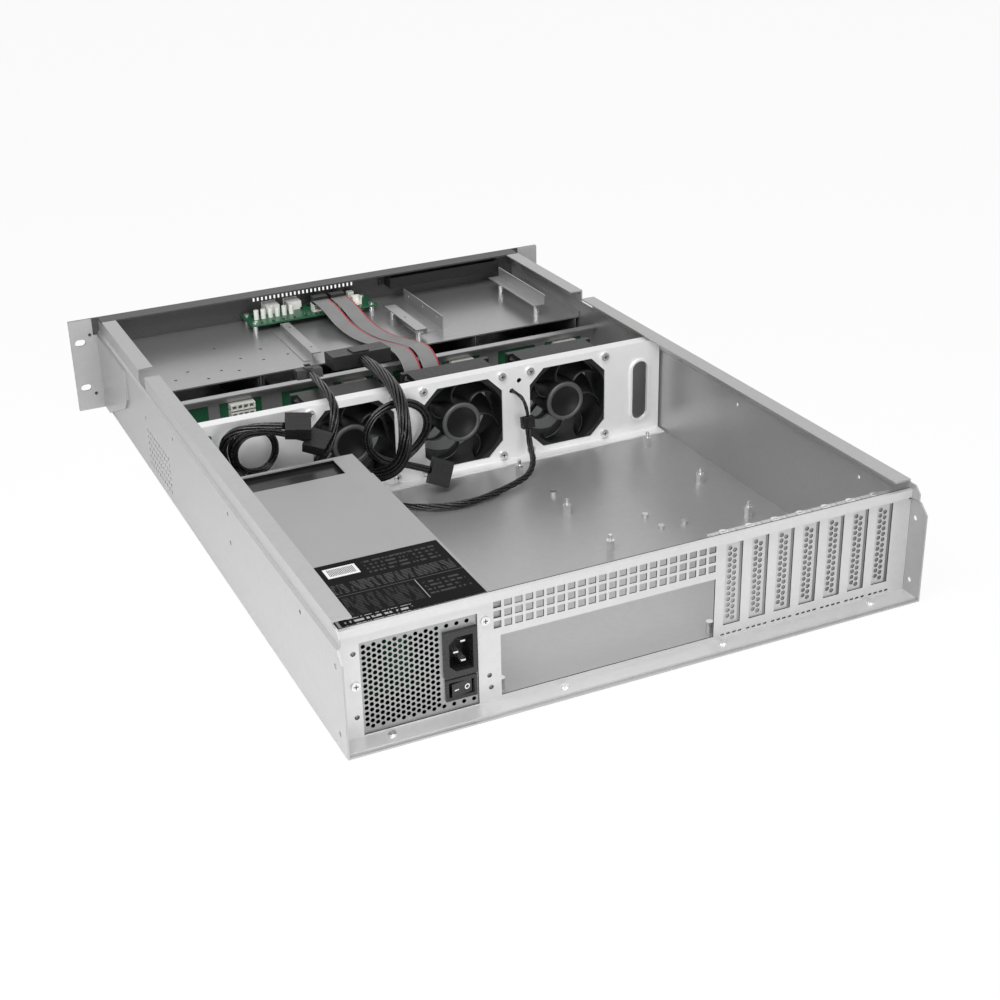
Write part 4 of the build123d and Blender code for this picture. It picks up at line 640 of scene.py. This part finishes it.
green = Finish("green_solder_mask")
lines_per_metre = 260
green_lines = ((green.along("X") * lines_per_metre + green.along("Z") * lines_per_metre) % 1.0
               ).between(0.0, 0.22)
green_mask = green.grain(30)
green_board = green.surface(
    Base_Color=green.mix(green_lines * green_mask * 0.5, (0.008, 0.085, 0.035, 1), (0.03, 0.20, 0.09, 1)),
    Roughness=green_mask * 0.1 + 0.28,
    Normal=green.bump(green_lines, 0.00004),
    Coat_Weight=0.3)
dress(green_board, "psu_board", "backplane_board", "control_board")

label_low, label_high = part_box("psu_label")
label = Finish("printed_label")
across_label = (label.along("X") - label_low.x) * (1 / (label_high.x - label_low.x))
along_label = (label_high.y - label.along("Y")) * (1 / (label_high.y - label_low.y))


def field(left, right_edge, near, far):
    """A plain field of the label, as shares of its width and length."""
    return across_label.between(left, right_edge) * along_label.between(near, far)


fine_rows = (along_label * 44 % 1.0).between(0.3, 0.75)
broad_rows = (along_label * 17 % 1.0).between(0.3, 0.75)
print_place = label.node("ShaderNodeMapping", inputs={"Vector": label.place(), "Scale": (420, 60, 1)})
speckle = label.node("ShaderNodeTexNoise", {"noise_dimensions": "2D"},
                     {"Vector": print_place, "Scale": 1.0, "Detail": 1.0}) > 0.47
table = field(0.38, 0.96, 0.16, 0.44) * fine_rows * speckle * 0.05
band = field(0.03, 0.97, 0.50, 0.66) * fine_rows * speckle * 0.09
notes = (field(0.04, 0.33, 0.17, 0.42) + field(0.05, 0.58, 0.72, 0.95)) * broad_rows * speckle * 0.06
title = field(0.50, 0.97, 0.02, 0.13) * (along_label * 18 % 1.0).between(0.2, 0.7) * speckle * 0.5
bars = (across_label * 95 % 1.0).between(0.0, 0.5) * field(0.65, 0.84, 0.80, 0.91)
code_patch = field(0.63, 0.86, 0.77, 0.93) * (1 - bars) * 0.9
rules = (along_label.between(0.467, 0.473) * 0.12
         + across_label.between(0.352, 0.358) * along_label.between(0.15, 0.46) * 0.4)
light = label.node("ShaderNodeClamp", inputs={0: table + band + notes + title + code_patch + rules})
label_finish = label.surface(
    Base_Color=label.mix(light, grey(0.003), grey(0.72)),
    Roughness=label.grain(500) * 0.12 + 0.5,
    Specular_IOR_Level=0.05)
dress(label_finish, "psu_label")

gloss = Finish("glossy_black_moulding")
gloss_black = gloss.surface(
    Base_Color=gloss.mix(gloss.grain(160), grey(0.010), grey(0.018)),
    Roughness=gloss.grain(300) * 0.12 + 0.22,
    Normal=gloss.bump(gloss.grain(900), 0.00005))
dress(gloss_black, "psu_inlet", "psu_switch_housing", "psu_switch_rocker")

pins = bmesh.new()
for x, z in ((0.1282, 0.0375), (0.1282, 0.0515), (0.1332, 0.0445)):
    for back, front, shrink in ((0.2930, 0.3058, 0.0), (0.3058, 0.3068, 0.0004)):
        slab(pins, (x - 0.00205 + shrink, back, z - 0.00105 + shrink),
             (x + 0.00205 - shrink, front, z + 0.00105 - shrink))
pins = to_object(pins, "inlet_contact_tips", bright_nickel, False)
soften(pins, 0.0002)
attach(pins, "case")

ink = Finish("white_mark_ink")
white_ink = ink.surface(
    Base_Color=ink.mix(ink.grain(800), grey(0.62), grey(0.78)),
    Roughness=ink.grain(900) * 0.1 + 0.45)
marks = bmesh.new()
ink_depth = 0.00006
ring_steps = 32
rocker_slope = 1.2 / 7.3
rocker_middle = Vector((0.1307, 0.3065 + 0.0022, 0.0185))
slab(marks, (0.0024, 0, -0.0004), (0.0054, ink_depth, 0.0004))
ring = []
for radius, depth in ((0.0019, 0.0), (0.0019, ink_depth), (0.0012, ink_depth), (0.0012, 0.0)):
    ring.append([marks.verts.new((-0.0040 + radius * math.cos(2 * math.pi * k / ring_steps), depth,
                                  radius * math.sin(2 * math.pi * k / ring_steps)))
                 for k in range(ring_steps)])
for loop, following in zip(ring, ring[1:] + ring[:1]):
    for k in range(ring_steps):
        after = (k + 1) % ring_steps
        marks.faces.new((loop[k], loop[after], following[after], following[k]))
bmesh.ops.recalc_face_normals(marks, faces=marks.faces)
for vertex in marks.verts:
    vertex.co.y += rocker_slope * vertex.co.x
    vertex.co += rocker_middle
marks = to_object(marks, "switch_marks", white_ink, False)
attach(marks, "psu_switch_rocker")

rubber = Finish("black_rubber")
rubber_black = rubber.surface(
    Base_Color=rubber.mix(rubber.grain(200), grey(0.012), grey(0.025)),
    Roughness=rubber.grain(600) * 0.15 + 0.55,
    Normal=rubber.bump(rubber.grain(1200), 0.0001))
dress(rubber_black, "psu_gland")


# Fans: black glass-filled plastic frames and rotors behind the wall's windows.
# Each rotor has seven swept blades and a hub with a raised ring and a plain dark disc.
grainy = Finish("black_glass_filled_plastic")
fan_black = grainy.surface(
    Base_Color=grainy.mix(grainy.grain(120), grey(0.006), grey(0.014)),
    Roughness=grainy.grain(500) * 0.2 + 0.34,
    Specular_IOR_Level=0.35,
    Normal=grainy.bump(grainy.grain(1500), 0.0001))
dress(fan_black, "fan_frame_1", "fan_frame_2", "fan_frame_3", "slim_bay_blank", "power_button",
      "reset_button", "ribbon_plugs")

disc = Finish("plain_hub_disc")
hub_disc = disc.surface(
    Base_Color=disc.mix(disc.grain(90), grey(0.004), grey(0.009)),
    Roughness=disc.grain(300) * 0.1 + 0.4,
    Specular_IOR_Level=0.2)
ring_finish = Finish("grey_hub_ring")
hub_ring = ring_finish.surface(
    Base_Color=ring_finish.mix(ring_finish.grain(90), grey(0.045), grey(0.075)),
    Roughness=ring_finish.grain(300) * 0.15 + 0.35)

blade_count = 7
blade_steps = 8
blade_thickness = 0.0010
hub_radius = 0.0175
hub_steps = 64
blade_reach = 0.0372
for fan in (1, 2, 3):
    low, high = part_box("fan_rotor_%d" % fan)
    middle = Vector(((low.x + high.x) / 2, 0, fan_height))
    rotor = bmesh.new()
    front, back = low.y + 0.001, high.y - 0.001
    for blade in range(blade_count):
        start = 2 * math.pi * blade / blade_count
        sides = []
        for lift in (0.0, blade_thickness):
            rows = []
            for out_step in range(blade_steps + 1):
                share = out_step / blade_steps
                radius = hub_radius - 0.0006 + share * (blade_reach - hub_radius + 0.0006)
                row = []
                for chord_step in range(blade_steps + 1):
                    chord = chord_step / blade_steps
                    pitch = 0.62 - 0.20 * share
                    sweep = 0.55 * share * share
                    lean = start + sweep + pitch * (chord - 0.5) + 0.10 * math.sin(math.pi * chord)
                    depth = front + (back - front) * (0.06 + 0.86 * chord)
                    turn = lean + lift / radius
                    row.append(rotor.verts.new((middle.x + radius * math.cos(turn), depth,
                                                middle.z + radius * math.sin(turn))))
                rows.append(row)
            sides.append(rows)
        for rows in sides:
            for row, following in zip(rows, rows[1:]):
                for step in range(blade_steps):
                    rotor.faces.new((row[step], row[step + 1], following[step + 1], following[step]))
        edge, other_edge = ([row[0] for row in rows] + rows[-1][1:]
                            + [row[-1] for row in reversed(rows[:-1])]
                            + list(reversed(rows[0][1:-1])) for rows in sides)
        for k in range(len(edge)):
            following = (k + 1) % len(edge)
            rotor.faces.new((edge[k], edge[following], other_edge[following], other_edge[k]))
    bmesh.ops.recalc_face_normals(rotor, faces=rotor.faces)
    blades = to_object(rotor, "fan_%d_blades" % fan, fan_black)
    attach(blades, "fan_rotor_%d" % fan)
    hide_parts("fan_rotor_%d" % fan)

    hub = bmesh.new()
    profile = [(0.0, low.y), (hub_radius - 0.001, low.y), (hub_radius, low.y + 0.001),
               (hub_radius, high.y - 0.0016), (hub_radius - 0.0006, high.y - 0.0004),
               (hub_radius - 0.0014, high.y - 0.0001),
               (0.0139, high.y - 0.0001), (0.0136, high.y - 0.0007), (0.0, high.y - 0.0007)]
    rings = []
    for radius, depth in profile:
        if radius == 0.0:
            rings.append([hub.verts.new((middle.x, depth, middle.z))])
            continue
        rings.append([hub.verts.new((middle.x + radius * math.cos(2 * math.pi * k / hub_steps), depth,
                                     middle.z + radius * math.sin(2 * math.pi * k / hub_steps)))
                      for k in range(hub_steps)])
    for number, (ring, following) in enumerate(zip(rings, rings[1:])):
        for k in range(hub_steps):
            n = (k + 1) % hub_steps
            if len(ring) == 1:
                face = hub.faces.new((ring[0], following[n], following[k]))
            elif len(following) == 1:
                face = hub.faces.new((ring[k], ring[n], following[0]))
            else:
                face = hub.faces.new((ring[k], ring[n], following[n], following[k]))
            face.material_index = 2 if number == 7 else (1 if number >= 3 else 0)
    bmesh.ops.recalc_face_normals(hub, faces=hub.faces)
    hub = to_object(hub, "fan_%d_hub" % fan, fan_black)
    hub.data.materials.append(hub_ring)
    hub.data.materials.append(hub_disc)
    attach(hub, "fan_rotor_%d" % fan)


# Drive trays and front panel: folded steel with a black powder coat.
# Sockets of white nylon, and two grey flat cables with a red wire along one edge.
powder = Finish("black_powder_coat")
powder_grain = powder.grain(700, detail=4.0)
powder_black = powder.surface(
    Base_Color=powder.mix(powder_grain, grey(0.024), grey(0.048)),
    Roughness=powder_grain * 0.2 + 0.34,
    Normal=powder.bump(powder_grain, 0.00025, 0.7))
dress(powder_black, "front_panel")
for column in (1, 2, 3, 4):
    for row in (1, 2):
        dress(powder_black, "drive_tray_%d_%d" % (column, row))

nylon = Finish("white_nylon")
white_nylon = nylon.surface(
    Base_Color=nylon.mix(nylon.grain(120), (0.66, 0.66, 0.62, 1), (0.80, 0.80, 0.76, 1)),
    Roughness=nylon.grain(300) * 0.15 + 0.35)
dress(white_nylon, "power_sockets", "control_board_parts")

ribbon = Finish("grey_ribbon")
ribbon_grey = ribbon.surface(
    Base_Color=ribbon.mix(ribbon.grain(60), grey(0.16), grey(0.24)),
    Roughness=ribbon.grain(200) * 0.1 + 0.38,
    Normal=ribbon.bump(ribbon.grain(900), 0.00003))
edge = Finish("red_edge_wire")
edge_red = edge.surface(
    Base_Color=edge.mix(edge.grain(60), (0.30, 0.02, 0.03, 1), (0.42, 0.05, 0.06, 1)),
    Roughness=edge.grain(200) * 0.1 + 0.38)
ribbon_half = 0.008
conductors = 10
ridge_height = 0.00045
groove_height = 0.00022
ribbons = bmesh.new()
for points in ([(0.006, -0.290, 0.080), (0.005, -0.270, 0.080), (0, -0.240, 0.067),
                (-0.007, -0.205, 0.064), (-0.015, -0.172, 0.068), (-0.019, -0.145, 0.072),
                (-0.020, -0.126, 0.062), (-0.020, -0.124, 0.047), (-0.020, -0.138, 0.043)],
               [(-0.012, -0.290, 0.080), (-0.013, -0.270, 0.080), (-0.018, -0.240, 0.067),
                (-0.025, -0.205, 0.064), (-0.033, -0.172, 0.068), (-0.037, -0.145, 0.072),
                (-0.038, -0.126, 0.062), (-0.038, -0.124, 0.047), (-0.038, -0.138, 0.043)]):
    line = smooth_line(points)
    rings = []
    for index, point in enumerate(line):
        direction = (line[min(index + 1, len(line) - 1)] - line[max(index - 1, 0)]).normalized()
        across = Vector((1, 0, 0)) - direction * direction.x
        across.normalize()
        over = direction.cross(across)
        ring = []
        for face in (1, -1):
            for step in range(2 * conductors + 1):
                place = (step / (2 * conductors) * 2 - 1) * face
                height = ridge_height if step % 2 else groove_height
                ring.append(ribbons.verts.new(point + across * (place * ribbon_half)
                                              + over * (face * height)))
        rings.append(ring)
    count = len(rings[0])
    for ring, following in zip(rings, rings[1:]):
        for k in range(count):
            after = (k + 1) % count
            made = ribbons.faces.new((ring[k], ring[after], following[after], following[k]))
            made.material_index = 1 if k < 2 or count - 4 < k < count - 1 else 0
    ribbons.faces.new(rings[0])
    ribbons.faces.new(rings[-1])
bmesh.ops.recalc_face_normals(ribbons, faces=ribbons.faces)
ribbons = to_object(ribbons, "ribbon_conductors", ribbon_grey)
ribbons.data.materials.append(edge_red)
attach(ribbons, "case")
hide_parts("ribbon_cables")


# Small parts on the front control board: black moulded chips and resistors.
# They are soldered in two rows beside the white sockets.
board_top = 0.068
chips = bmesh.new()
for k in range(15):
    x = -0.045 + 0.0081 * k
    depth = -0.3185 + 0.0045 * (k % 3)
    wide = 0.0022 + 0.0009 * (k * 7 % 4)
    slab(chips, (x - wide / 2, depth, board_top),
         (x + wide / 2, depth + 0.0022, board_top + 0.0010 + 0.0004 * (k % 3)))
for k in range(11):
    x = -0.042 + 0.0108 * k
    slab(chips, (x - 0.0010, -0.2890, board_top), (x + 0.0010, -0.2872, board_top + 0.0007))
chips = to_object(chips, "control_board_chips", fan_black, False)
soften(chips, 0.0002)
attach(chips, "case")
